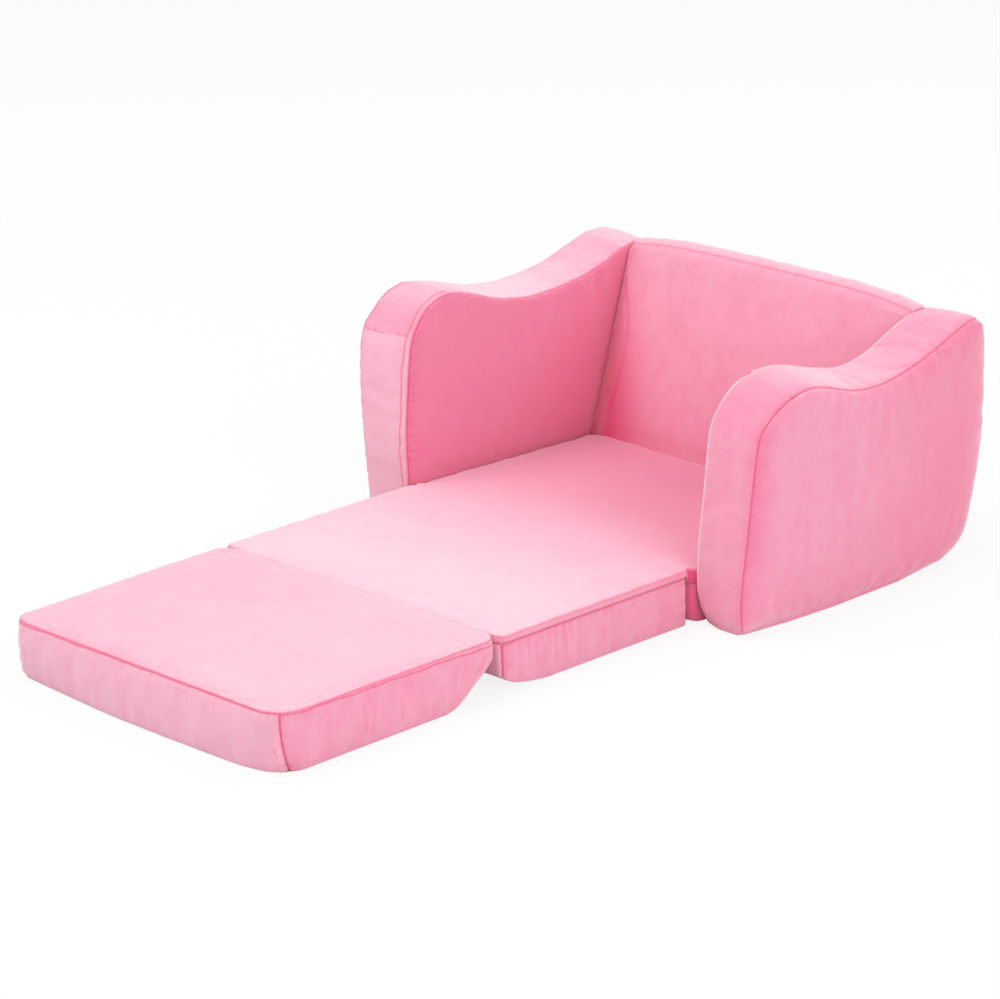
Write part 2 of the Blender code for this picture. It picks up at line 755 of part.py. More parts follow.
def centre_on_footprint():
    """Moves the sofa so that the middle of its footprint is the origin, and says where the folds lie."""
    bpy.context.view_layer.update()
    graph = bpy.context.evaluated_depsgraph_get()
    corners = []
    for part in sofa.objects:
        if part.type == "MESH":
            whole = part.evaluated_get(graph)
            corners += [whole.matrix_world @ Vector(corner) for corner in whole.bound_box]
    low = Vector([min(corner[axis] for corner in corners) for axis in range(3)])
    high = Vector([max(corner[axis] for corner in corners) for axis in range(3)])
    middle = (low + high) / 2
    root.location = (-middle.x, -middle.y, -low.z)
    bpy.context.view_layer.update()
    print("whole sofa", [round(size, 5) for size in high - low])
    tracks = [thing for thing in sofa.objects if thing.name.endswith("_track")]
    for marker in (middle_fold, end_fold, *tracks):
        print(marker.name, [round(value, 5) for value in marker.matrix_world.translation])


clear_scene()
sofa = new_collection("Flip open sofa")
cutters = new_collection("Cutters")
root = new_empty("sofa", (0, 0, 0))
chair = new_empty("chair", (0, 0, 0), root)
middle_fold = new_empty("middle_fold", (0, 0, FOLD_HEIGHT), root)
end_fold = new_empty("end_fold", (0, -MIDDLE_LENGTH, FLOOR_FOLD_HEIGHT), middle_fold)
make_arm(-1, "left")
make_arm(1, "right")
make_back()
make_seat()
make_floor_cloth()
make_panel(MIDDLE, middle_fold)
make_panel(END, end_fold)
make_seat_hinge()
make_floor_hinge()
make_zips()
centre_on_footprint()
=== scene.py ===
"""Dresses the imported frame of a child's flip-open foam sofa in its pink plush covers.

The sofa is opened flat on a pale floor. Every cushion is a cut block of foam whose cover is puffed up
between its seams by a short cloth simulation, and then gets its seams, stitched edges, puckers and creases.
Lengths are in metres, +Z is up and +Y runs to the rear.
"""

from __future__ import annotations

import json
import logging
import math
from collections.abc import Sequence
from dataclasses import dataclass
from enum import Enum

import bmesh
import bpy
import numpy as np
from mathutils import Matrix, Vector
from mathutils.kdtree import KDTree

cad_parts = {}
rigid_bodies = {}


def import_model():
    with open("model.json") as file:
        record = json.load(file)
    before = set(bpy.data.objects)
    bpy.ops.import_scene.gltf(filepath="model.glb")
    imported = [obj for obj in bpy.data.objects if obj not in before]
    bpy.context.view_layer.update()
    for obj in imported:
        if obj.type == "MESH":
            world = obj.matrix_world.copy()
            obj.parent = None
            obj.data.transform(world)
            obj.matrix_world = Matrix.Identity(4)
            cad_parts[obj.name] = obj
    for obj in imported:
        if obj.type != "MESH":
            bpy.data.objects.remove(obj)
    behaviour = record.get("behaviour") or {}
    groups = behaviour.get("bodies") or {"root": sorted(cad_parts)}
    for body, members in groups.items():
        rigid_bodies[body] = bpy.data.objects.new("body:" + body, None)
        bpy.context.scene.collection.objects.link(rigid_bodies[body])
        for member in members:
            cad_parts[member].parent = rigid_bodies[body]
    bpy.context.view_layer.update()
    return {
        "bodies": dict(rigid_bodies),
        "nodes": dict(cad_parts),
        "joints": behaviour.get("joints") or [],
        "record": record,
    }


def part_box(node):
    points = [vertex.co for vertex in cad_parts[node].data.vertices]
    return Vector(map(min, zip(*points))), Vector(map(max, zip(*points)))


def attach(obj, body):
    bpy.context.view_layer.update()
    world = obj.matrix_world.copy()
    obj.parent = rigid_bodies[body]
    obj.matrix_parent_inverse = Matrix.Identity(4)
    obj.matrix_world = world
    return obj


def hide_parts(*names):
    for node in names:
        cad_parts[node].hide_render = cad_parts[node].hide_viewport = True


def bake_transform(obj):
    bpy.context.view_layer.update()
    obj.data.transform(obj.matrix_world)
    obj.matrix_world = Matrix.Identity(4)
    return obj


LOG = logging.getLogger("sofa")
MM = 0.001
ON_FACE = 0.999

Point = tuple[float, float, float]
Colour = tuple[float, float, float]


class Value:
    """A shader socket that takes part in Python arithmetic, adding a Math node for each operation."""

    def __init__(self, shader: Shader, socket: bpy.types.NodeSocket) -> None:
        """Wraps one output socket of a shader's node tree."""
        self.shader = shader
        self.socket = socket

    def _math(self, operation: str, first: Value | float, second: Value | float = 0.0) -> Value:
        """Adds a Math node.

        Args:
            operation: the Math node's operation.
            first: its first value.
            second: its second value.

        Returns:
            The node's result.
        """
        return self.shader.node("ShaderNodeMath", {"operation": operation}, {0: first, 1: second})

    def __add__(self, other: Value | float) -> Value:
        """Sum of two values."""
        return self._math("ADD", self, other)

    def __radd__(self, other: Value | float) -> Value:
        """Sum with the value on the right."""
        return self._math("ADD", other, self)

    def __sub__(self, other: Value | float) -> Value:
        """Difference of two values."""
        return self._math("SUBTRACT", self, other)

    def __rsub__(self, other: Value | float) -> Value:
        """Difference with the value on the right."""
        return self._math("SUBTRACT", other, self)

    def __mul__(self, other: Value | float) -> Value:
        """Product of two values."""
        return self._math("MULTIPLY", self, other)

    def __rmul__(self, other: Value | float) -> Value:
        """Product with the value on the right."""
        return self._math("MULTIPLY", other, self)

    def __pow__(self, other: Value | float) -> Value:
        """Power of a value."""
        return self._math("POWER", self, other)

    def above(self, threshold: float) -> Value:
        """One where the value is over the threshold, and zero elsewhere."""
        return self._math("GREATER_THAN", self, threshold)


class Shader:
    """One material under construction, with its Principled shader."""

    def __init__(self, name: str) -> None:
        """Starts an empty material with a Principled shader."""
        self.material = bpy.data.materials.new(name)
        self.material.use_nodes = True
        self.tree = self.material.node_tree
        self.principled = self.tree.nodes["Principled BSDF"]
        self.output = self.tree.nodes["Material Output"]

    def node(
        self,
        kind: str,
        settings: dict[str, object] | None = None,
        inputs: dict[int | str, object] | None = None,
        output: int | str = 0,
    ) -> Value:
        """Adds a node.

        Args:
            kind: the node's type.
            settings: its properties, set before its sockets.
            inputs: a value or a link for each socket, by index or name.
            output: which of its outputs to hand back.

        Returns:
            The chosen output.
        """
        made = self.tree.nodes.new(kind)
        for key, setting in (settings or {}).items():
            if key == "stops":
                self._fill_ramp(made.color_ramp, setting)
            else:
                setattr(made, key, setting)
        for key, value in (inputs or {}).items():
            self.feed(made.inputs[key], value)
        return Value(self, made.outputs[output])

    def _fill_ramp(self, ramp: bpy.types.ColorRamp, stops: Sequence[tuple[float, Colour]]) -> None:
        """Gives a colour ramp its two stops."""
        for element, (place, colour) in zip(ramp.elements, stops):
            element.position = place
            element.color = (*colour, 1)

    def feed(self, socket: bpy.types.NodeSocket, value: object) -> None:
        """Links a value to a socket, or sets the socket's own value."""
        if isinstance(value, Value):
            self.tree.links.new(value.socket, socket)
        elif isinstance(value, tuple) and socket.type == "RGBA":
            socket.default_value = (*value, 1)
        else:
            socket.default_value = value

    def set(self, **inputs: object) -> None:
        """Sets or links sockets of the Principled shader, named with underscores for spaces."""
        for name, value in inputs.items():
            self.feed(self.principled.inputs[name.replace("_", " ")], value)

    def place(self, scale: Point = (1, 1, 1), turn: Point = (0, 0, 0)) -> Value:
        """Object coordinates, turned and scaled for a pattern."""
        coordinates = self.node("ShaderNodeTexCoord", output="Object")
        return self.node("ShaderNodeMapping", {}, {"Vector": coordinates, "Scale": scale, "Rotation": turn})

    def painted(self, name: str) -> Value:
        """The values stored on a mesh's points under a name."""
        return self.node("ShaderNodeAttribute", {"attribute_name": name}, output="Fac")

    def noise(self, scale: float, detail: float = 2, where: Value | None = None) -> Value:
        """Soft random values around one half.

        Args:
            scale: how many patches there are to a metre.
            detail: how many finer layers are added.
            where: the coordinates that the pattern follows.

        Returns:
            The pattern's value.
        """
        inputs = {"Vector": where or self.place(), "Scale": scale, "Detail": detail}
        return self.node("ShaderNodeTexNoise", {"noise_dimensions": "3D"}, inputs)

    def blend(self, share: Value | float, first: object, second: object) -> Value:
        """Mixes two colours by a share."""
        inputs = {"Factor": share, 6: first, 7: second}
        return self.node("ShaderNodeMix", {"data_type": "RGBA", "clamp_factor": True}, inputs, output=2)

    def bump(self, height: Value, depth: float, below: Value | None = None) -> Value:
        """A surface that stands up by a height.

        Args:
            height: the pattern, from 0 to 1.
            depth: how far 1 stands up, in metres.
            below: a coarser bump underneath.

        Returns:
            The normal.
        """
        inputs: dict[int | str, object] = {"Height": height, "Distance": depth, "Strength": 1.0}
        if below is not None:
            inputs["Normal"] = below
        return self.node("ShaderNodeBump", {}, inputs)


@dataclass(frozen=True)
class Plush:
    """Short velvety plush: pale where its pile faces the light or light is painted on; painted deep-pink
    shade in seams, folds and corners; a painted highlight on one edge.
    """

    name: str = "pink_plush"
    side: Colour = (0.865, 0.235, 0.390)
    # pale is the colour that pale-cut pile and painted light take the plush towards
    pale: Colour = (0.935, 0.570, 0.670)
    # deep is the colour of the painted shade
    deep: Colour = (0.830, 0.070, 0.210)
    # bright is the colour of the painted highlight
    bright: Colour = (0.970, 0.900, 0.930)
    patches: float = 9.0
    rubs: float = 42.0
    streaks: float = 34.0
    streak_shape: Point = (1, 1, 0.22)
    fibres: float = 1500.0
    nap_and_light_weight: float = 0.90
    patch_weight: float = 0.24
    rub_weight: float = 0.34
    streak_weight: float = 0.18
    fibre_weight: float = 0.34
    flat_share: float = 0.55
    streak_depth: float = 0.45 * MM
    fibre_depth: float = 0.35 * MM
    sheen: float = 1.0
    sheen_roughness: float = 0.55
    sheen_tint: Colour = (1.0, 0.88, 0.92)

    def material(self) -> bpy.types.Material:
        """Makes the plush."""
        shader = Shader(self.name)
        # Painted light and shade: the pale share is partly pile and partly painted light, the deep share is
        # painted shade, and the glint is a painted highlight.
        nap, painted_shade, glint = shader.painted("nap"), shader.painted("painted_shade"), shader.painted("glint")
        patches = shader.noise(self.patches, 3)
        streaks = shader.noise(self.streaks, 3, shader.place(self.streak_shape))
        fibres = shader.noise(self.fibres, 2)
        rubbed = shader.noise(self.rubs, 4)
        brushed = nap * self.nap_and_light_weight + patches * self.patch_weight + rubbed * self.rub_weight
        brushed = brushed + streaks * self.streak_weight + fibres * self.fibre_weight - self.flat_share
        face = shader.blend(brushed, self.side, self.pale)
        shader.set(
            Base_Color=shader.blend(glint, shader.blend(painted_shade, face, self.deep), self.bright),
            Roughness=0.95 - patches * 0.10,
            Sheen_Weight=self.sheen,
            Sheen_Roughness=self.sheen_roughness,
            Sheen_Tint=self.sheen_tint,
            IOR=1.35,
            Specular_IOR_Level=0.10,
            Normal=shader.bump(fibres, self.fibre_depth, shader.bump(streaks, self.streak_depth)),
        )
        return shader.material


@dataclass(frozen=True)
class GripCloth:
    """The plain woven underside, with rows of small rubber grip dots."""

    name: str = "underside_cloth"
    cloth: Colour = (0.560, 0.210, 0.290)
    worn: Colour = (0.660, 0.300, 0.380)
    dots: Colour = (0.780, 0.560, 0.610)
    dot_pitch: float = 0.012
    dot_radius_share: float = 0.17
    dot_rows_turn: float = math.radians(45)
    dot_height: float = 0.4 * MM
    weave_depth: float = 0.2 * MM
    threads: float = 900.0
    worn_patches: float = 40.0

    def material(self) -> bpy.types.Material:
        """Makes the grip cloth."""
        shader = Shader(self.name)
        per_metre = 1 / self.dot_pitch
        across = shader.place((per_metre, per_metre, 0), (0, 0, self.dot_rows_turn))
        cells = {"Vector": across, "Scale": 1.0, "Randomness": 0.0}
        distance = shader.node("ShaderNodeTexVoronoi", {"voronoi_dimensions": "2D"}, cells)
        dot = 1 - distance.above(self.dot_radius_share)
        diagonal = {"wave_type": "BANDS", "bands_direction": "DIAGONAL"}
        weave = shader.node("ShaderNodeTexWave", diagonal, {"Scale": self.threads})
        wear = shader.noise(self.worn_patches, 4)
        shader.set(
            Base_Color=shader.blend(dot, shader.blend(wear * 0.6, self.cloth, self.worn), self.dots),
            Roughness=0.92 - dot * 0.35,
            Sheen_Weight=0.15,
            Normal=shader.bump(dot, self.dot_height, shader.bump(weave * wear, self.weave_depth)),
        )
        return shader.material


@dataclass(frozen=True)
class ZipTape:
    """Fine woven zip tape."""

    name: str = "zip_tape"
    colour: Colour = (0.780, 0.200, 0.320)
    rib_colour: Colour = (0.860, 0.280, 0.400)
    ribs: float = 700.0
    rib_depth: float = 0.2 * MM

    def material(self) -> bpy.types.Material:
        """Makes the tape."""
        shader = Shader(self.name)
        weave = shader.noise(self.ribs, 1)
        shader.set(
            Base_Color=shader.blend(weave, self.colour, self.rib_colour),
            Roughness=0.80,
            Sheen_Weight=0.2,
            Normal=shader.bump(weave, self.rib_depth),
        )
        return shader.material


@dataclass(frozen=True)
class Nylon:
    """Moulded nylon of the zip's coils, slightly glossy."""

    name: str = "zip_nylon"
    colour: Colour = (0.830, 0.240, 0.370)
    cloudy: Colour = (0.900, 0.340, 0.460)
    clouds: float = 300.0

    def material(self) -> bpy.types.Material:
        """Makes the nylon."""
        shader = Shader(self.name)
        cloud = shader.noise(self.clouds, 2)
        shader.set(
            Base_Color=shader.blend(cloud, self.colour, self.cloudy),
            Roughness=0.38 + cloud * 0.15,
            Subsurface_Weight=0.1,
        )
        return shader.material


@dataclass(frozen=True)
class Enamel:
    """Pink enamel over the slider's metal, thinner where it has been handled."""

    name: str = "zip_slider"
    colour: Colour = (0.800, 0.230, 0.350)
    worn: Colour = (0.600, 0.560, 0.550)
    scuffs: float = 500.0
    worn_above: float = 0.66

    def material(self) -> bpy.types.Material:
        """Makes the enamel."""
        shader = Shader(self.name)
        wear = shader.noise(self.scuffs, 4).above(self.worn_above)
        shader.set(
            Base_Color=shader.blend(wear, self.colour, self.worn),
            Metallic=0.15 + wear * 0.7,
            Roughness=0.34 + wear * 0.1,
            Coat_Weight=0.4,
            Coat_Roughness=0.15,
        )
        return shader.material


class Finishes:
    """The finishes, each made once and shared by the pieces that wear it."""

    def __init__(self) -> None:
        """Makes every finish."""
        self.plush = Plush().material()
        self.grip = GripCloth().material()
        self.tape = ZipTape().material()
        self.nylon = Nylon().material()
        self.enamel = Enamel().material()


class Side(Enum):
    """The two sides of the sofa, as a sign along X."""

    LEFT = -1
    RIGHT = 1


class Axis(Enum):
    """The axes of a block."""

    X = 0
    Y = 1
    Z = 2


@dataclass(frozen=True)
class Crease:
    """A fold pressed into a cover along a line of points, or raised where its depth is negative, with painted
    shade in it.
    """

    line: tuple[Point, ...]
    depth: float = 1.2 * MM
    width: float = 4 * MM
    tint: float = 0.30
    through: Axis | None = None
    through_reach: float = 18 * MM
    samples_to_knot: int = 10

    def press(self, points: np.ndarray) -> tuple[np.ndarray, np.ndarray]:
        """Measures the fold at points of a cover.

        Args:
            points: the cover's points.

        Returns:
            How far each point rises, and how much painted shade lies there.
        """
        samples = smooth_line(np.array(self.line), self.samples_to_knot)
        rise, painted_shade = np.zeros(len(points)), np.zeros(len(points))
        reach, counted = np.full(3, 4 * self.width), np.ones(3)
        if self.through is not None:
            reach[self.through.value] = self.through_reach
            counted[self.through.value] = 0
        low, high = samples.min(axis=0) - reach, samples.max(axis=0) + reach
        near = np.all((points > low) & (points < high), axis=1)
        if not near.any():
            return rise, painted_shade
        gaps = np.linalg.norm((points[near][:, None, :] - samples[None, :, :]) * counted, axis=2)
        share = gaps.argmin(axis=1) / (len(samples) - 1)
        distance = gaps.min(axis=1)
        taper = smooth_step(share * 4) * smooth_step((1 - share) * 4)
        shoulder = bell(distance - 2 * self.width, self.width)
        rise[near] = self.depth * taper * (0.5 * shoulder - bell(distance, self.width))
        # Painted shade in the fold.
        painted_shade[near] = self.tint * taper * bell(distance, 0.7 * self.width)
        return rise, painted_shade


@dataclass(frozen=True)
class Seam:
    """A sewn edge of a block, and how it shapes the cover beside it.

    The edge runs along one axis, at the shares `at` of the two other axes. The cover is drawn in at the
    edge, by `groove` close to it and by `roll` further out. A `welt` is the width, at both ends of the edge,
    between the edge and a second line of stitches on the faces across the `band` axis. `tint` is how much
    painted shade lies in the edge, `halo` how much painted shade lies beside it, and `glint` how bright a
    painted highlight runs along it. `calm` takes the gathers off the band.
    """

    run: Axis
    at: tuple[float, float]
    groove: float = 2.2 * MM
    groove_width: float = 1.9 * MM
    roll: float = 1.0 * MM
    roll_width: float = 7 * MM
    pucker: float = 0.30 * MM
    pucker_reach: float = 12 * MM
    pucker_pitch: float = 9 * MM
    band: Axis | None = None
    welt: tuple[float, float] = (0.0, 0.0)
    tint: float = 0.75
    halo: float = 0.0
    glint: float = 0.0
    calm: float = 0.0
    tint_width: float = 1.7 * MM
    halo_width: float = 13 * MM
    glint_place: float = 2.4 * MM
    glint_width: float = 1.4 * MM
    gather_layers: int = 4
    gather_drift: float = 1.6
    gathers_from: float = 1.5 * MM
    least_welt: float = 1.5 * MM
    stitch_width: float = 1.25 * MM
    stitch_depth: float = 1.1 * MM
    welt_rise: float = 0.75 * MM

    def fixed(self) -> list[int]:
        """The two axes that the edge doesn't run along."""
        return [axis.value for axis in Axis if axis is not self.run]

    def beside(self, share: np.ndarray, points: np.ndarray, outward: np.ndarray) -> Beside:
        """Measures from every point of a cover to this edge.

        Args:
            share: the points' shares of the block.
            points: the cover's points.
            outward: the cover's normals.

        Returns:
            The measurements.
        """
        on = np.all(np.abs(share[:, self.fixed()] - np.array(self.at)) < 1e-4, axis=1)
        order = np.argsort(share[on, self.run.value])
        run, spots, outs = (values[on][order] for values in (share[:, self.run.value], points, outward))
        steps = np.linalg.norm(np.diff(spots, axis=0), axis=1)
        length = np.concatenate([[0], np.cumsum(steps)])
        place = share[:, self.run.value]
        nearest = np.column_stack([np.interp(place, run, spots[:, i]) for i in range(3)])
        direction = np.column_stack([np.interp(place, run, outs[:, i]) for i in range(3)])
        direction /= np.maximum(np.linalg.norm(direction, axis=1, keepdims=True), 1e-9)
        distance = np.linalg.norm(points - nearest, axis=1)
        return Beside(distance, np.interp(place, run, length), length[-1], direction)

    def draw_in(self, beside: Beside) -> np.ndarray:
        """How far each point is drawn towards the foam."""
        close = self.groove * bell(beside.distance, self.groove_width)
        return close + self.roll * bell(beside.distance, self.roll_width)

    def on_band(self, share: np.ndarray) -> np.ndarray:
        """Which points lie on the faces that carry the band."""
        if self.band is None:
            return np.zeros(len(share), bool)
        return np.abs(np.abs(share[:, self.band.value]) - 1) < 1e-4

    def painted_seam_shade(self, beside: Beside) -> np.ndarray:
        """How much painted shade lies at each point in the edge and beside it."""
        close = self.tint * bell(beside.distance, self.tint_width)
        return np.maximum(close, self.halo * bell(beside.distance, self.halo_width))

    def painted_glint(self, beside: Beside, share: np.ndarray) -> np.ndarray:
        """How bright the painted highlight is at each point of the band along the edge."""
        if self.band is None or not self.glint:
            return np.zeros(len(share))
        return self.on_band(share) * self.glint * bell(beside.distance - self.glint_place, self.glint_width)

    def gathers(self, beside: Beside, rng: np.random.Generator) -> np.ndarray:
        """Small gathers that run away from the edge.

        Args:
            beside: the measurements to the edge.
            rng: the source of the gathers' places.

        Returns:
            The rise at each point.
        """
        rise = np.zeros(len(beside.distance))
        for layer in range(self.gather_layers):
            pitch = self.pucker_pitch * (0.7 + 0.4 * layer)
            phase = rng.uniform(0, 2 * math.pi, 3)
            drift = self.gather_drift * np.sin(beside.along / (pitch * 3.7) + phase[0])
            weight = 0.45 + 0.55 * np.sin(beside.along / (pitch * 5.3) + phase[1])
            swing = np.sin(2 * math.pi * beside.along / pitch + phase[2] + drift)
            rise += swing * weight * np.exp(-beside.distance / (self.pucker_reach * (0.6 + 0.4 * layer)))
        return self.pucker * rise * smooth_step(beside.distance / self.gathers_from)

    def stitch(self, beside: Beside, share: np.ndarray) -> tuple[np.ndarray, np.ndarray]:
        """Presses the welt's second line of stitches into the band.

        Args:
            beside: the measurements to the edge.
            share: the points' shares of the block.

        Returns:
            The rise at each point, and how much painted shade lies in the stitch line there.
        """
        if self.band is None or not self.welt[0]:
            return np.zeros(len(share)), np.zeros(len(share))
        on_band = self.on_band(share)
        wave = 0.5 * MM * np.sin(beside.along / 0.017) + 0.35 * MM * np.sin(beside.along / 0.0067 + 1)
        width = self.welt[0] + (self.welt[1] - self.welt[0]) * beside.along / beside.length + wave
        width = np.maximum(width, self.least_welt)
        line = bell(beside.distance - width, self.stitch_width)
        bulge = np.sin(math.pi * np.clip(beside.distance / width, 0, 1))
        rise = on_band * (self.welt_rise * bulge - self.stitch_depth * line)
        return rise, on_band * self.tint * 0.8 * line


@dataclass
class Beside:
    """Measurements from the points of a cover to one of its edges."""

    distance: np.ndarray
    along: np.ndarray
    length: float
    direction: np.ndarray


def smooth_step(share: np.ndarray) -> np.ndarray:
    """Eases values from 0 to 1, and holds them outside."""
    held = np.clip(share, 0, 1)
    return held * held * (3 - 2 * held)


def bell(distance: np.ndarray, width: float | np.ndarray) -> np.ndarray:
    """Falls off smoothly from 1 with the distance from a line."""
    return np.exp(-((distance / width) ** 2))


def smooth_line(knots: np.ndarray, steps: int = 16) -> np.ndarray:
    """Runs a smooth line through points.

    Args:
        knots: the points, one to a row.
        steps: how many steps lie between one knot and the next.

    Returns:
        The line's points, which include every knot.
    """
    ends = np.vstack([knots[:1], knots, knots[-1:]])
    tangents = ends[2:] - ends[:-2]
    tangents /= np.maximum(np.linalg.norm(tangents, axis=1, keepdims=True), 1e-9)
    t = np.linspace(0, 1, steps, endpoint=False)[:, None]
    line = []
    for first, last, leave, arrive in zip(knots[:-1], knots[1:], tangents[:-1], tangents[1:]):
        reach = np.linalg.norm(last - first) / 3
        near, far = first + leave * reach, last - arrive * reach
        leaving = first * (1 - t) ** 3 + 3 * near * t * (1 - t) ** 2
        line.append(leaving + 3 * far * t * t * (1 - t) + last * t**3)
    return np.vstack([*line, knots[-1:]])


def coordinates(mesh: bpy.types.Mesh) -> np.ndarray:
    """The points of a mesh, one to a row."""
    flat = np.empty(len(mesh.vertices) * 3, np.float32)
    mesh.vertices.foreach_get("co", flat)
    return flat.reshape(-1, 3).astype(float)


def set_coordinates(mesh: bpy.types.Mesh, points: np.ndarray) -> None:
    """Moves the points of a mesh."""
    mesh.vertices.foreach_set("co", points.astype(np.float32).ravel())
    mesh.update()


def normals(mesh: bpy.types.Mesh) -> np.ndarray:
    """The normals at the points of a mesh, one to a row."""
    flat = np.empty(len(mesh.vertices) * 3, np.float32)
    mesh.vertex_normals.foreach_get("vector", flat)
    return flat.reshape(-1, 3).astype(float)


def paint(mesh: bpy.types.Mesh, name: str, values: np.ndarray) -> None:
    """Stores one value for each point of a mesh, which its finish reads by name."""
    attribute = mesh.attributes.new(name, "FLOAT", "POINT")
    attribute.data.foreach_set("value", np.clip(values, 0, 1).astype(np.float32))


class Bench:
    """The operators that start, cut and finish a piece, each with a clean selection."""

    @staticmethod
    def pick(obj: bpy.types.Object) -> None:
        """Selects one object and nothing else."""
        bpy.ops.object.select_all(action="DESELECT")
        obj.select_set(True)
        bpy.context.view_layer.objects.active = obj

    @staticmethod
    def block(name: str, low: Point, high: Point, cells: Sequence[int]) -> bpy.types.Object:
        """Adds a box and cuts it into an even grid.

        Args:
            name: the piece's name.
            low: the box's lowest corner.
            high: its highest corner.
            cells: how many cells lie along each axis.

        Returns:
            The box, with its place in its mesh.
        """
        bpy.ops.object.select_all(action="DESELECT")
        bpy.ops.mesh.primitive_cube_add(size=1, location=tuple(np.add(low, high) / 2))
        obj = bpy.context.object
        obj.name = name
        obj.data.name = name
        obj.scale = tuple(np.subtract(high, low))
        bpy.ops.object.transform_apply(location=True, rotation=True, scale=True)
        bpy.ops.object.mode_set(mode="EDIT")
        bpy.ops.mesh.select_mode(type="EDGE")
        for axis in Axis:
            if cells[axis.value] < 2:
                continue
            bpy.ops.mesh.select_all(action="DESELECT")
            cage = bmesh.from_edit_mesh(obj.data)
            for edge in cage.edges:
                run = edge.verts[1].co - edge.verts[0].co
                edge.select = abs(run[axis.value]) > run.length * 0.99
            bmesh.update_edit_mesh(obj.data)
            bpy.ops.mesh.subdivide(number_cuts=cells[axis.value] - 1)
        bpy.ops.object.mode_set(mode="OBJECT")
        return obj

    @staticmethod
    def apply(obj: bpy.types.Object, kind: str, **settings: object) -> None:
        """Adds a modifier and applies it.

        Args:
            obj: the piece.
            kind: the modifier's type.
            settings: its properties.
        """
        Bench.pick(obj)
        modifier = obj.modifiers.new(kind.title(), kind)
        for key, value in settings.items():
            setattr(modifier, key, value)
        bpy.ops.object.modifier_apply(modifier=modifier.name)

    @staticmethod
    def refine(obj: bpy.types.Object, kind: str = "SIMPLE", levels: int = 2) -> None:
        """Splits every face in four, once for each level."""
        Bench.apply(obj, "SUBSURF", levels=levels, render_levels=levels, subdivision_type=kind)

    @staticmethod
    def refined(mesh: bpy.types.Mesh, kind: str) -> np.ndarray:
        """The points that a mesh would have after refining, for values kept as a mesh's coordinates."""
        helper = bpy.data.objects.new("helper", mesh)
        bpy.context.collection.objects.link(helper)
        Bench.refine(helper, kind)
        points = coordinates(helper.data)
        bpy.data.objects.remove(helper)
        return points

    @staticmethod
    def finish(obj: bpy.types.Object, material: bpy.types.Material, angle: float = 180.0) -> None:
        """Smooths a piece's shading and dresses it.

        Args:
            obj: the piece.
            material: its finish.
            angle: edges sharper than this stay sharp, in degrees.
        """
        Bench.pick(obj)
        bpy.ops.object.shade_smooth_by_angle(angle=math.radians(angle))
        obj.data.materials.clear()
        obj.data.materials.append(material)


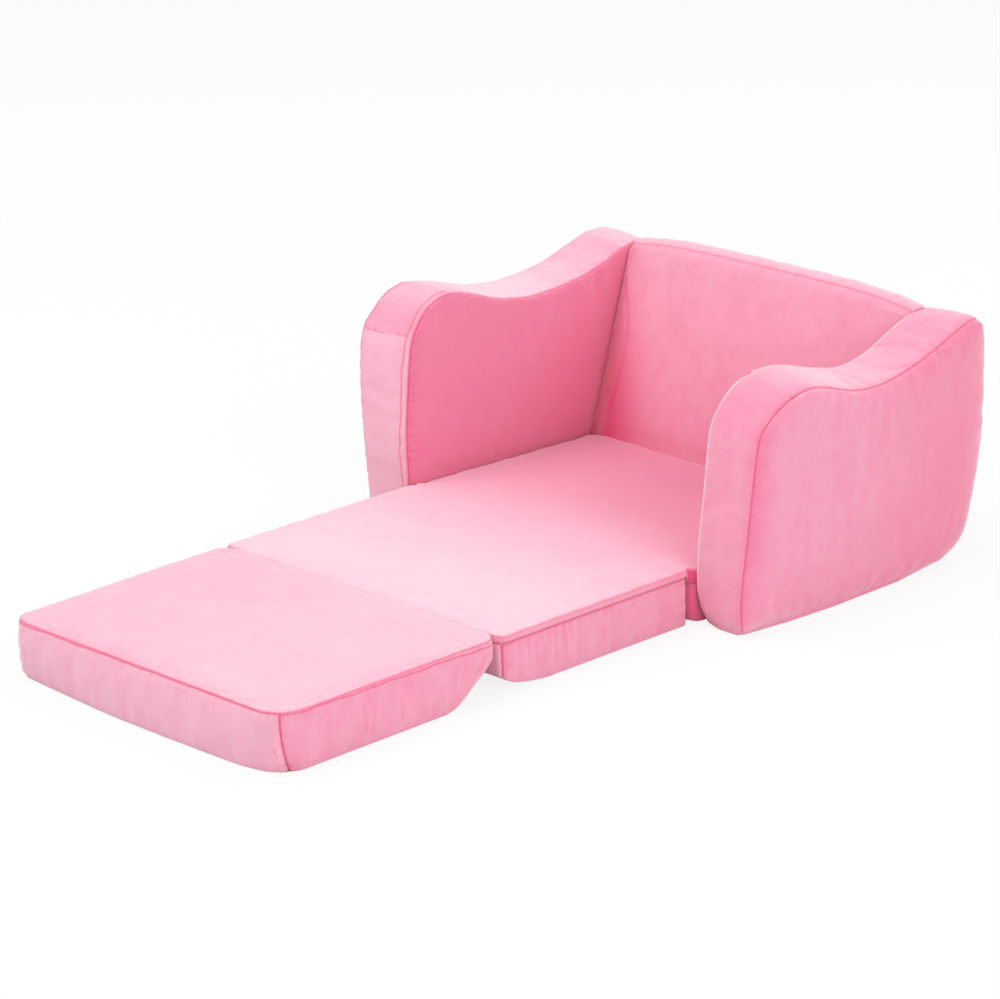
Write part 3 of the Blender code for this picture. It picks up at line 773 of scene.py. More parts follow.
@dataclass
class Cushion:
    """A block of foam in a sewn cover."""

    name: str
    body: str
    nodes: tuple[str, ...]
    cells: tuple[int, int, int]
    seed: int
    fill: float = 0.95
    puff: float = 2.5 * MM
    puff_reach: float = 12 * MM
    most_swell: float = 1.5 * MM
    slack: float = 0.020
    pressure: float = 3.0
    fine_cells: int = 4
    fine: float = 3.2 * MM
    creases: tuple[Crease, ...] = ()
    grip_below: bool = False
    above_floor: float = 0.3 * MM
    pinned_within: float = 1.5 * MM
    pin_fade: float = 9 * MM
    jitter: float = 0.25 * MM
    # Painted shade in the hollows of the gathers.
    gather_tint: float = 0.30
    gather_depth: float = 0.8 * MM
    underside_below: float = 6 * MM
    underside_slope: float = 0.96

    def low(self) -> Point:
        """The lowest corner of the block that the cushion is cut from."""
        raise NotImplementedError

    def high(self) -> Point:
        """The highest corner of the block that the cushion is cut from."""
        raise NotImplementedError

    def sewn(self, share: np.ndarray) -> np.ndarray:
        """Where points of the block, given as shares from -1 to 1, lie on the sewn cushion."""
        raise NotImplementedError

    def seams(self) -> list[Seam]:
        """The cushion's seams."""
        raise NotImplementedError

    def free(self, share: np.ndarray) -> np.ndarray:
        """How free the cover is to swell at each point: 1 in the open, 0 where it lies against something."""
        raise NotImplementedError

    def nap(self, share: np.ndarray) -> np.ndarray:
        """How pale the plush looks at each point: partly how its panel's pile was cut, partly painted light.
        """
        raise NotImplementedError

    def shade(self, share: np.ndarray) -> np.ndarray:
        """How much painted shade lies at each point apart from its seams."""
        return np.zeros(len(share))

    def swell(self, share: np.ndarray, distance: np.ndarray) -> np.ndarray:
        """How far the cover stands off the foam before it is simulated."""
        return self.puff * (1 - np.exp(-distance / self.puff_reach)) * self.free(share)

    def graded(self, even: np.ndarray, axis: Axis) -> np.ndarray:
        """Crowds evenly spaced shares towards both ends of an axis.

        Args:
            even: shares from -1 to 1.
            axis: the axis they lie along.

        Returns:
            The shares, with the cells beside both edges at the fine size.
        """
        cells = self.cells[axis.value]
        length = self.high()[axis.value] - self.low()[axis.value]
        count = min(self.fine_cells, cells // 3)
        edge, place = 1 - 2 * count / cells, 1 - 2 * min(count * self.fine, length / 3) / length
        return np.sign(even) * np.interp(np.abs(even), [0, edge, 1], [0, place, 1])

    def cut(self) -> None:
        """Cuts the block into its sewn shape, and keeps each point's share of it."""
        low, high = np.array(self.low()), np.array(self.high())
        self.obj = Bench.block(self.name, tuple(low), tuple(high), self.cells)
        even = (coordinates(self.obj.data) - (low + high) / 2) / ((high - low) / 2)
        self.share = np.column_stack([self.graded(even[:, axis.value], axis) for axis in Axis])
        self.shares_mesh = self.obj.data.copy()
        set_coordinates(self.shares_mesh, self.share)
        points = self.sewn(self.share)
        set_coordinates(self.obj.data, points)
        outward = normals(self.obj.data)
        self.distance = self.nearest(self.measured(points, outward))
        self.swollen = points + outward * self.swell(self.share, self.distance)[:, None]
        set_coordinates(self.obj.data, self.swollen)

    def measured(self, points: np.ndarray, outward: np.ndarray) -> list[Beside]:
        """The measurements from every point to each seam."""
        return [seam.beside(self.share, points, outward) for seam in self.seams()]

    @staticmethod
    def nearest(measured: Sequence[Beside]) -> np.ndarray:
        """The distance from each point to its nearest seam."""
        return np.min([beside.distance for beside in measured], axis=0)

    def dress_for_simulation(self) -> None:
        """Pins the seams and hands the cover to the cloth solver, with a little slack and pressure inside."""
        free = self.free(self.share) * smooth_step((self.distance - self.pinned_within) / self.pin_fade)
        rng = np.random.default_rng(self.seed)
        jitter = rng.normal(0, self.jitter, len(free)) * free
        set_coordinates(self.obj.data, self.swollen + normals(self.obj.data) * jitter[:, None])
        group = self.obj.vertex_groups.new(name="sewn")
        for i, hold in enumerate(1 - free):
            group.add([i], float(hold), "REPLACE")
        cloth = self.obj.modifiers.new("Cover", "CLOTH")
        settings = cloth.settings
        settings.quality = 5
        settings.mass = 0.35
        settings.tension_stiffness = 22
        settings.compression_stiffness = 22
        settings.shear_stiffness = 8
        settings.bending_stiffness = 0.25
        settings.use_pressure = True
        settings.uniform_pressure_force = self.pressure
        settings.shrink_min = -self.slack
        settings.vertex_group_mass = group.name
        settings.pin_stiffness = 1.0
        settings.effector_weights.gravity = 0
        cloth.point_cache.frame_end = Upholstery.FRAMES

    def take_simulation(self) -> None:
        """Applies the cloth, and caps how far the cover may stand off the foam."""
        Bench.pick(self.obj)
        bpy.ops.object.modifier_apply(modifier="Cover")
        moved = coordinates(self.obj.data) - self.swollen
        outward = normals(self.obj.data)
        rise = np.einsum("ij,ij->i", moved, outward)
        slide = moved - outward * rise[:, None]
        length = np.linalg.norm(slide, axis=1, keepdims=True)
        slide *= np.minimum(1, self.most_swell / np.maximum(length, 1e-9))
        held = np.tanh(rise / self.most_swell) * self.most_swell
        set_coordinates(self.obj.data, self.swollen + outward * held[:, None] + slide)
        self.obj.vertex_groups.clear()

    def sew(self) -> None:
        """Refines the cover, gives it its seams, welts, gathers and creases, and paints its light, shade and
        highlights.
        """
        drift_mesh = self.obj.data.copy()
        set_coordinates(drift_mesh, coordinates(self.obj.data) - self.swollen)
        drift = Bench.refined(drift_mesh, "CATMULL_CLARK")
        self.share = Bench.refined(self.shares_mesh, "SIMPLE")
        Bench.refine(self.obj)
        mesh = self.obj.data
        points = self.sewn(self.share)
        set_coordinates(mesh, points)
        outward = normals(mesh)
        measured = self.measured(points, outward)
        points = points + outward * self.swell(self.share, self.nearest(measured))[:, None] + drift
        set_coordinates(mesh, points)
        outward = normals(mesh)
        rng = np.random.default_rng(self.seed + 1)
        free, glint = self.free(self.share), np.zeros(len(points))
        # Painted shade starts from the cushion's own painted shade; seams, stitch lines, gather hollows and
        # creases add more, and bright edges get a painted highlight.
        rise, painted_shade, drawn = np.zeros(len(points)), self.shade(self.share), np.zeros_like(points)
        for seam, beside in zip(self.seams(), measured):
            line, tint = seam.stitch(beside, self.share)
            gathered = seam.gathers(beside, rng) * free * (1 - seam.calm * seam.on_band(self.share))
            rise += gathered + line
            drawn += beside.direction * seam.draw_in(beside)[:, None]
            painted_shade = np.maximum(painted_shade, np.maximum(seam.painted_seam_shade(beside), tint))
            painted_shade = painted_shade + self.gather_tint * np.clip(-gathered / self.gather_depth, 0, 1)
            glint = np.maximum(glint, seam.painted_glint(beside, self.share))
        for crease in self.creases:
            fold, tint = crease.press(points)
            rise += fold
            painted_shade = np.maximum(painted_shade, tint)
        points = points - drawn + outward * rise[:, None]
        points[:, 2] = np.maximum(points[:, 2], self.above_floor)
        set_coordinates(mesh, points)
        # Stores the pale share (pile and painted light), the painted shade and the painted highlight for the
        # finish.
        paint(mesh, "nap", self.nap(self.share))
        paint(mesh, "painted_shade", painted_shade)
        paint(mesh, "glint", glint)

    def dress(self, finishes: Finishes) -> None:
        """Gives the cushion its finish and its place in the frame."""
        Bench.finish(self.obj, finishes.plush)
        if self.grip_below:
            self.obj.data.materials.append(finishes.grip)
            self.face_underside()
        self.join_frame()
        LOG.info("%s: %d faces", self.name, len(self.obj.data.polygons))

    def join_frame(self) -> None:
        """Rides on its body, in place of its nodes."""
        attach(self.obj, self.body)
        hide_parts(*self.nodes)

    def face_underside(self) -> None:
        """Gives the faces that lie flat on the floor the grip cloth."""
        mesh = self.obj.data
        facing, centres = np.empty((2, len(mesh.polygons) * 3), np.float32)
        mesh.polygons.foreach_get("normal", facing)
        mesh.polygons.foreach_get("center", centres)
        downward = facing.reshape(-1, 3)[:, 2] < -self.underside_slope
        down = downward & (centres.reshape(-1, 3)[:, 2] < self.underside_below)
        mesh.polygons.foreach_set("material_index", down.astype(np.int32))


@dataclass
class FoldingPanel(Cushion):
    """One of the two panels that fold onto the seat.

    Values whose name ends in share count from -1 at the front to 1 at the rear, or from 0 to 1 otherwise.
    """

    half_width: float = 0.268
    front: float = 0.0
    rear: float = 0.0
    top_height: float = 0.078
    crown: float = 0.006
    front_radii: tuple[float, float] = (10 * MM, 10 * MM)
    foot_round: float = 0.0
    rear_radius: float = 18 * MM
    side_draw: float = 1.5 * MM
    side_flare: float = 2.0 * MM
    rear_widening: float = 0.0
    widening_from_share: float = -0.6
    widening_length_share: float = 1.4
    left_taper: float = 0.0
    taper_from_share: float = 0.38
    taper_length_share: float = 1.38
    foot_line: tuple[tuple[float, float], ...] = ((-1.0, 0.0), (1.0, 0.0))
    floor_gap: float = 0.5 * MM
    front_bulge: float = 0.0
    corner_rise: float = 0.0
    notch: tuple[tuple[float, float], ...] = ()
    notch_at_front: bool = False
    has_lid: bool = False
    zip_node: str = "end_zip"
    zip_from_share: float = -0.75
    zip_ramp_share: float = 0.22
    zip_hold: float = 0.8
    zip_reach: float = 8 * MM
    corner_width: float = 24 * MM
    corner_length: float = 28 * MM
    left_corner_share: float = 0.3
    top_from_share: float = 0.9

    def low(self) -> Point:
        """The lowest corner of the panel's block."""
        return (-self.half_width, self.front, 0.0)

    def high(self) -> Point:
        """The highest corner of the panel's block."""
        return (self.half_width, self.rear, self.top_height)

    def sewn(self, share: np.ndarray) -> np.ndarray:
        """Rounds the plan's corners, shapes the sides and the front, crowns the top and cuts the notch."""
        a, b, c = share[:, 0], share[:, 1], (share[:, 2] + 1) / 2
        half_y, middle = (self.rear - self.front) / 2, (self.rear + self.front) / 2
        lower = 1 - c
        x, y = self.rounded(a * self.half_width, b * half_y, half_y, lower)
        widened = smooth_step((b - self.widening_from_share) / self.widening_length_share)
        widening = self.rear_widening * widened
        beside_zip = smooth_step((b - self.zip_from_share) / self.zip_ramp_share) * (1 - c**4)
        tapered = np.clip((self.taper_from_share - b) / self.taper_length_share, 0, 1)
        taper = self.left_taper * tapered * (1 - beside_zip)
        widening = widening - np.where(a < 0, taper, 0.0)
        x = x + a * (self.side_flare * lower - self.side_draw * (1 - np.abs(b) ** 4) + widening)
        flare = lower * np.interp(a, *np.array(self.foot_line).T)
        y = y - np.clip(-b, 0, 1) * (flare + self.front_bulge * 4 * c * lower)
        floor = self.floor_gap + self.notched(middle + y)
        z = floor + c * (self.top_height - floor)
        top = smooth_step((c - self.top_from_share) * 10)
        fade = (1 - np.abs(a) ** 4) * (1 - np.abs(b) ** 5)
        corner = bell((1 - np.abs(a)) * self.half_width, self.corner_width)
        corner = corner * bell((1 + b) * half_y, self.corner_length)
        corner = corner * np.where(a < 0, self.left_corner_share, 1.0)
        return np.column_stack([x, middle + y, z + top * (self.crown * fade + self.corner_rise * corner)])

    def rounded(
        self, x: np.ndarray, y: np.ndarray, half_y: float, lower: np.ndarray
    ) -> tuple[np.ndarray, np.ndarray]:
        """Turns the corners of the plan into quarter circles.

        Args:
            x: places across the panel, from its middle.
            y: places along it, from its middle.
            half_y: half of its length.
            lower: how far down each point lies, from 0 at the top to 1 on the floor.

        Returns:
            The places, moved onto the rounded plan.
        """
        left, right = self.front_radii
        radius = np.where(y < 0, np.where(x < 0, left, right + self.foot_round * lower), self.rear_radius)
        a = np.clip((np.abs(x) - self.half_width + radius) / radius, 0, 1)
        b = np.clip((np.abs(y) - half_y + radius) / radius, 0, 1)
        cut_x = radius * a * (1 - np.sqrt(1 - b * b / 2))
        cut_y = radius * b * (1 - np.sqrt(1 - a * a / 2))
        return x - np.sign(x) * cut_x, y - np.sign(y) * cut_y

    def notched(self, y: np.ndarray) -> np.ndarray:
        """How far the underside rises towards the fold on the floor."""
        distance = y - self.front if self.notch_at_front else self.rear - y
        profile = smooth_line(np.array(self.notch), 8)
        return np.interp(distance, profile[:, 0], profile[:, 1])

    def seams(self) -> list[Seam]:
        """The seams round the top and the floor, and the four upright ones."""
        fold_side = -1 if self.notch_at_front else 1
        made = []
        for side in (-1, 1):
            made.extend(self.covered_seams(side) if self.has_lid else self.top_seams(side, side == fold_side))
            for run in (Axis.X, Axis.Y):
                floor = Seam(
                    run, (side, -1), 0.2 * MM, roll=0.4 * MM, roll_width=6 * MM, pucker=0.25 * MM, tint=0.25
                )
                made.append(floor)
            for end in (-1, 1):
                upright = Seam(
                    Axis.Z, (side, end), roll=0.8 * MM, pucker=0.8 * MM, pucker_pitch=12 * MM, tint=0.9
                )
                made.append(upright)
        return made

    def covered_seams(self, side: int) -> list[Seam]:
        """The seams along one end and one side of a top that lies under a lid."""
        return [
            Seam(Axis.X, (side, 1), 1.0 * MM, roll=0.6 * MM, tint=0.6),
            Seam(Axis.Y, (side, 1), 1.2 * MM, roll=0.4 * MM, pucker=0.5 * MM, pucker_reach=20 * MM),
        ]

    def top_seams(self, side: int, at_fold: bool) -> list[Seam]:
        """The seams along one end and one side of an open top.

        Args:
            side: which end and which side, -1 or 1.
            at_fold: whether that end lies at the fold, where its edge is soft.

        Returns:
            The end's seam and the side's seam, which have a second line of stitches away from the fold.
        """
        if at_fold:
            across = Seam(Axis.X, (side, 1), 0.4 * MM, roll=0.6 * MM, pucker=0.34 * MM, tint=0.0)
        else:
            across = Seam(
                Axis.X, (side, 1), 1.6 * MM, roll=0.8 * MM, pucker=0.34 * MM, band=Axis.Y,
                welt=(3.0 * MM, 0.8 * MM), tint=0.95,
            )
        along = Seam(
            Axis.Y, (side, 1), 1.6 * MM, roll=0.8 * MM, band=Axis.X, welt=(2.6 * MM, 6.5 * MM), tint=0.9
        )
        return [across, along]

    def free(self, share: np.ndarray) -> np.ndarray:
        """Keeps the underside flat, the ends at the folds clear, and the cover flat under a lid or a zip."""
        b, c = share[:, 1], share[:, 2]
        free = smooth_step((c + 1) * 6) * smooth_step((1 - b) * 14)
        if self.notch_at_front:
            free = free * smooth_step((1 + b) * 14)
        if self.has_lid:
            free = free * smooth_step((1 - c) * 10)
        return free * (1 - self.zip_hold * self.on_zip(share))

    def on_zip(self, share: np.ndarray) -> np.ndarray:
        """Where the zip tape in the left boxing holds the cover flat: 1 under the tape, 0 away from it."""
        spots, (low, high) = self.sewn(share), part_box(self.zip_node)
        beyond = np.maximum(np.maximum(np.array(low) - spots, spots - np.array(high)), 0)[:, 1:]
        return (share[:, 0] < -0.9) * bell(np.linalg.norm(beyond, axis=1), self.zip_reach)

    def nap(self, share: np.ndarray) -> np.ndarray:
        """Painted light with the pile's paleness: palest on the top, less so on the front boxing and least on
        the sides.
        """
        on_top, on_end = share[:, 2] > ON_FACE, np.abs(share[:, 1]) > ON_FACE
        top = 0.54 + 0.14 * smooth_step((share[:, 0] + 0.9) / 1.6)
        return np.where(on_top, top, np.where(on_end, 0.58, 0.20))


def seat_front_shade(share: np.ndarray) -> np.ndarray:
    """The painted shade on the seat's front: deepest in the corners by the arms."""
    return 0.40 + 0.42 * smooth_step((np.abs(share[:, 0]) - 0.84) / 0.10)


@dataclass
class Seat(Cushion):
    """The fixed seat's foam between the arms, under the lid that it shares with the middle panel."""

    half_width: float = 0.2768
    front: float = 0.0
    rear: float = 0.0
    top_height: float = 0.0579
    floor_gap: float = 1.8 * MM

    def low(self) -> Point:
        """The lowest corner of the seat's block."""
        return (-self.half_width, self.front, 0.0)

    def high(self) -> Point:
        """The highest corner of the seat's block."""
        return (self.half_width, self.rear, self.top_height)

    def sewn(self, share: np.ndarray) -> np.ndarray:
        """A plain block just above the floor."""
        low, high = np.array(self.low()), np.array(self.high())
        low[2] = self.floor_gap
        return low + (share + 1) / 2 * (high - low)

    def seams(self) -> list[Seam]:
        """The edges of the front, the lower one well rounded."""
        lower = Seam(Axis.X, (-1, -1), 0.6 * MM, roll=4 * MM, roll_width=14 * MM, pucker=0.0)
        upper = Seam(Axis.X, (-1, 1), 0.2 * MM, roll=0.0, pucker=0.0)
        sides = [Seam(Axis.Z, (side, -1), 0.8 * MM, roll=2 * MM, pucker=0.0) for side in (-1, 1)]
        return [lower, upper, *sides]

    def free(self, share: np.ndarray) -> np.ndarray:
        """Nothing swells: the arms, the back, the floor and the lid hold every face."""
        return np.zeros(len(share))

    def shade(self, share: np.ndarray) -> np.ndarray:
        """Painted shade, deepest in the corners by the arms."""
        return seat_front_shade(share)

    def nap(self, share: np.ndarray) -> np.ndarray:
        """The same all round."""
        return np.full(len(share), 0.3)


@dataclass
class Lid(Cushion):
    """The one top panel over the seat and the middle panel, shaped across the fold between them."""

    half_width: float = 0.2775
    panel_half_width: float = 0.268
    front: float = 0.0
    rear: float = 0.0
    fold: float = 0.0
    highest: float = 0.0841
    panel_bottom: float = 0.0708
    seat_bottom: float = 0.0572
    edge_height: float = 0.0815
    seat_edge_front: float = 0.0744
    seat_edge_rear: float = 0.0644
    seat_rise: float = 9.5 * MM
    front_radius: float = 10 * MM
    rear_radius: float = 7 * MM
    panel_widening: float = 2 * MM
    panel_widening_from: float = 0.075
    panel_widening_length: float = 0.26
    seat_widening_from: float = 2 * MM
    seat_widening_length: float = 13 * MM
    seat_from: float = 1 * MM
    seat_height_length: float = 24 * MM
    left_draw: float = 5 * MM
    left_draw_length: float = 0.03
    rear_tuck: float = 5 * MM
    tuck_length: float = 16 * MM
    panel_edge_reach: float = 15 * MM
    seat_edge_reach: float = 13 * MM
    fold_sag: float = 0.4 * MM
    fold_half_gap: float = 0.6 * MM
    fold_held: float = 4 * MM
    fold_freeing: float = 20 * MM
    side_shade_from: float = -6 * MM
    side_shade_length: float = 4 * MM

    def low(self) -> Point:
        """The lowest corner of the lid's block."""
        return (-self.half_width, self.front, self.seat_bottom)

    def high(self) -> Point:
        """The highest corner of the lid's block."""
        return (self.half_width, self.rear, self.highest)

    def along(self, share: np.ndarray) -> np.ndarray:
        """The places of points along the lid, from front to rear."""
        return self.front + (share[:, 1] + 1) / 2 * (self.rear - self.front)

    def half_at(self, y: np.ndarray) -> np.ndarray:
        """Half of the lid's width at each place along it: narrower on the panel, and waisted at the fold."""
        near = np.clip((y - self.fold + self.rear_radius) / self.rear_radius, 0, 1)
        waist = self.panel_half_width - self.rear_radius * 0.7 * (1 - np.sqrt(1 - near * near))
        front = np.clip((self.front + self.front_radius - y) / self.front_radius, 0, 1)
        panel = waist - self.front_radius * (1 - np.sqrt(1 - front * front))
        widened = smooth_step((y - self.front - self.panel_widening_from) / self.panel_widening_length)
        panel = panel + self.panel_widening * widened
        widening = smooth_step((y - self.fold - self.seat_widening_from) / self.seat_widening_length)
        return panel + (self.half_width - panel) * widening

    def sewn(self, share: np.ndarray) -> np.ndarray:
        """Follows the plan, and domes the top up from its edge without passing the fold's height."""
        a, c = share[:, 0], (share[:, 2] + 1) / 2
        y = self.along(share)
        half = self.half_at(y)
        drawn = self.left_draw * np.clip(-a, 0, 1) * smooth_step((self.fold - y) / self.left_draw_length)
        x = a * half - drawn
        on_seat = smooth_step((y - self.fold - self.seat_from) / self.seat_height_length)
        back = np.clip((y - self.fold) / (self.rear - self.fold), 0, 1)
        seat_edge = self.seat_edge_front + (self.seat_edge_rear - self.seat_edge_front) * back
        inside = np.minimum(half - np.abs(x), y - self.front)
        panel_rise = (self.highest - self.edge_height) * (1 - np.exp(-inside / self.panel_edge_reach))
        tuck = self.rear_tuck * smooth_step((y - self.rear + self.tuck_length) / self.tuck_length)
        seat_rise = self.seat_rise * (1 - np.exp(-(half - np.abs(x)) / self.seat_edge_reach)) - tuck
        top = (1 - on_seat) * (self.edge_height + panel_rise) + on_seat * (seat_edge + seat_rise)
        top = np.minimum(top, self.highest)
        bottom = np.where(y < self.fold + self.seat_from, self.panel_bottom, self.seat_bottom)
        return np.column_stack([x, y, bottom + c * (top - bottom)])

    def seams(self) -> list[Seam]:
        """The seam round the lid's edge, which is soft at both folds."""
        made = [Seam(Axis.X, (-1, 1), 0.2 * MM, roll=0.8 * MM, roll_width=9 * MM, pucker=0.20 * MM, tint=0.0)]
        for side in (-1, 1):
            upper = Seam(
                Axis.Y, (side, 1), 1.0 * MM, roll=0.9 * MM, roll_width=4 * MM, pucker=0.32 * MM, tint=0.55
            )
            lower = Seam(
                Axis.Y, (side, -1), 0.9 * MM, groove_width=1.3 * MM, roll=0.0, pucker=0.0, tint=0.8
            )
            made.extend([upper, lower])
        return made

    def free(self, share: np.ndarray) -> np.ndarray:
        """The top is free away from the fold, where it may not rise."""
        beyond_fold = np.abs(self.along(share) - self.fold) - self.fold_held
        return smooth_step((share[:, 2] - 0.5) * 4) * smooth_step(beyond_fold / self.fold_freeing)

    def behind_fold(self, y: np.ndarray) -> np.ndarray:
        """0 on the middle panel and 1 on the seat."""
        return smooth_step((y - self.fold - self.side_shade_from) / self.side_shade_length)

    def swell(self, share: np.ndarray, distance: np.ndarray) -> np.ndarray:
        """The lid lies close to the foam."""
        return np.zeros(len(share))

    def nap(self, share: np.ndarray) -> np.ndarray:
        """Painted light and shade: palest on the middle panel, fading over the seat towards the back."""
        y = self.along(share)
        fading = 1 - 0.95 * smooth_step((y + 0.16) / 0.46)
        return np.where(share[:, 2] > ON_FACE, fading, 0.22 - 0.4 * self.behind_fold(y))

    def shade(self, share: np.ndarray) -> np.ndarray:
        """Painted shade, deeper towards the back and the left arm."""
        y = self.along(share)
        beside_back = 0.14 * smooth_step((y - 0.3) / 0.2) * (1 - share[:, 0] / 2)
        on_top = 0.27 * smooth_step((y - 0.05) / 0.30) + beside_back
        return np.where(share[:, 2] > ON_FACE, on_top, seat_front_shade(share) * self.behind_fold(y))

    def join_frame(self) -> None:
        """Bakes its place into its points, in place of its nodes; it rides on no body and does not bend."""
        level = self.highest + self.fold_sag
        start, end = (0, self.fold + self.fold_half_gap, level), (0, self.fold - self.fold_half_gap, level)
        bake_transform(self.obj)
        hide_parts(*self.nodes)
        2 * self.half_width
        self.rear - self.front


@dataclass
class Back(Cushion):
    """The backrest, which leans back between the arms and reaches the floor."""

    half_width: float = 0.2775
    foot: float = 0.0
    seat_height: float = 0.072
    lean: float = 0.090
    height: float = 0.357
    arch: float = 0.015
    top_depth: float = 0.034
    floor_gap: float = 0.6 * MM
    rear_recess: float = 6.2 * MM
    rear_overhang: float = 8 * MM
    rear_height: float = 0.375
    front_bulge: float = 5 * MM
    left_wedge: float = 9 * MM
    top_rise: float = 2.5 * MM
    wide_shadow: float = 88 * MM
    shadow_narrowing: float = 62 * MM
    seat_shadow: float = 50 * MM

    def low(self) -> Point:
        """The lowest corner of the back's block."""
        return (-self.half_width, self.foot, 0.0)

    def high(self) -> Point:
        """The highest corner of the back's block."""
        return (self.half_width, self.foot + self.lean + self.top_depth, self.height)

    def sewn(self, share: np.ndarray) -> np.ndarray:
        """Leans the front, arches the top and follows the arms' rear line."""
        a, b, c = share[:, 0], (share[:, 1] + 1) / 2, (share[:, 2] + 1) / 2
        top = self.height + self.arch * (1 - np.abs(a) ** 4)
        z = self.floor_gap + c * (top - self.floor_gap)
        above = np.clip((z - self.seat_height) / (top - self.seat_height), 0, 1)
        bulge = self.front_bulge * 4 * above * (1 - above) * (1 - a * a)
        wedge = self.left_wedge * smooth_step((-a - 0.86) * 8) * (1 - 0.6 * above)
        front_y = self.foot + self.lean * above - bulge + wedge
        outline = self.rear_outline()
        rear_y = np.interp(z, outline[:, 1], outline[:, 0]) - self.rear_recess
        y = front_y + (rear_y - front_y) * b
        z = z + smooth_step((c - 0.93) * 14) * self.top_rise * 4 * b * (1 - b)
        return np.column_stack([a * self.half_width, y, z])

    def rear_outline(self) -> np.ndarray:
        """The rear side in Y and Z: up the arms' rear line to its knee, and straight on to the top's edge."""
        top = (self.foot + self.lean + self.top_depth + self.rear_overhang, self.rear_height)
        return np.array([*ARM_REAR[:0:-1], top])

    def seams(self) -> list[Seam]:
        """The seams along the front and rear of the top, and the upright ones."""
        made = [
            Seam(Axis.X, (-1, 1), 1.4 * MM, roll=2.4 * MM, roll_width=8 * MM, pucker=0.25 * MM, tint=0.5),
            Seam(Axis.X, (1, 1), 2.0 * MM, roll=1.2 * MM, pucker=0.25 * MM, tint=0.6),
        ]
        for side in (-1, 1):
            front = Seam(
                Axis.Z, (side, -1), 0.8 * MM, roll=0.8 * MM, pucker=0.45 * MM, pucker_reach=22 * MM,
                pucker_pitch=16 * MM, tint=0.9,
            )
            made.append(front)
            made.append(Seam(Axis.Z, (side, 1), 2.0 * MM, roll=1.0 * MM))
            made.append(Seam(Axis.Y, (side, 1), 1.2 * MM, roll=1.0 * MM, pucker=0.1 * MM))
        return made

    def free(self, share: np.ndarray) -> np.ndarray:
        """The front panel above the seat, the top and the rear panel swell; the hidden sides don't."""
        a, b, c = share[:, 0], share[:, 1], share[:, 2]
        hidden = smooth_step((1 - np.abs(a)) * 25)
        above = np.where(b < 0, smooth_step((c + 0.60) * 7), smooth_step((c + 1) * 9))
        return hidden * above

    def nap(self, share: np.ndarray) -> np.ndarray:
        """Painted light with the pile's paleness: paler on the top boxing and towards the top of the front
        panel.
        """
        rise = smooth_step((share[:, 2] + 0.6) / 1.6)
        return np.where(share[:, 2] > ON_FACE, 0.55, 0.36 + 0.04 * rise)

    def shade(self, share: np.ndarray) -> np.ndarray:
        """Painted shade, deep beside the left arm and just above the seat."""
        a, c = share[:, 0], (share[:, 2] + 1) / 2
        reach = self.wide_shadow - self.shadow_narrowing * smooth_step((c - 0.2) / 0.8)
        left = 1.2 * bell((a + 1) * self.half_width, reach) * (1 - 0.6 * smooth_step((c - 0.3) / 0.7))
        low = 0.18 * np.exp(-np.maximum(c - 0.2, 0) * self.height / self.seat_shadow)
        return np.where(share[:, 1] < -ON_FACE, left + low, 0.0)


@dataclass(frozen=True)
class Profile:
    """The outline of an arm's side, as points in Y and Z: up the front, along the top and down the rear."""

    front: tuple[tuple[float, float], ...]
    top: tuple[tuple[float, float], ...]
    rear: tuple[tuple[float, float], ...]

    def line(self, steps: int = 14) -> tuple[np.ndarray, int, int]:
        """Runs a smooth line through the outline.

        Args:
            steps: how many steps lie between one point and the next.

        Returns:
            The line's points, and the places of its front and rear corners among them.
        """
        line = smooth_line(np.array(self.front + self.top + self.rear), steps)
        return line, (len(self.front) - 1) * steps, (len(self.front) + len(self.top) - 1) * steps

    @staticmethod
    def walk(line: np.ndarray, share: np.ndarray) -> np.ndarray:
        """The points at shares of a line's length."""
        run = np.concatenate([[0], np.cumsum(np.linalg.norm(np.diff(line, axis=0), axis=1))])
        place = share * run[-1]
        return np.column_stack([np.interp(place, run, line[:, 0]), np.interp(place, run, line[:, 1])])

    def filled(self, b: np.ndarray, c: np.ndarray) -> np.ndarray:
        """Spreads a square over the outline.

        Args:
            b: shares from 0 to 1 from front to rear.
            c: shares from 0 to 1 from floor to top.

        Returns:
            The places in Y and Z.
        """
        line, top, rear = self.line()
        front_line, rear_line = self.walk(line[: top + 1], c), self.walk(line[rear:][::-1], c)
        top_line = self.walk(line[top : rear + 1], b)
        floor_line = self.walk(np.array([line[0], line[-1]]), b)
        b, c = b[:, None], c[:, None]
        corners = (1 - b) * (1 - c) * line[0] + b * (1 - c) * line[-1]
        corners = corners + (1 - b) * c * line[top] + b * c * line[rear]
        return (1 - c) * floor_line + c * top_line + (1 - b) * front_line + b * rear_line - corners


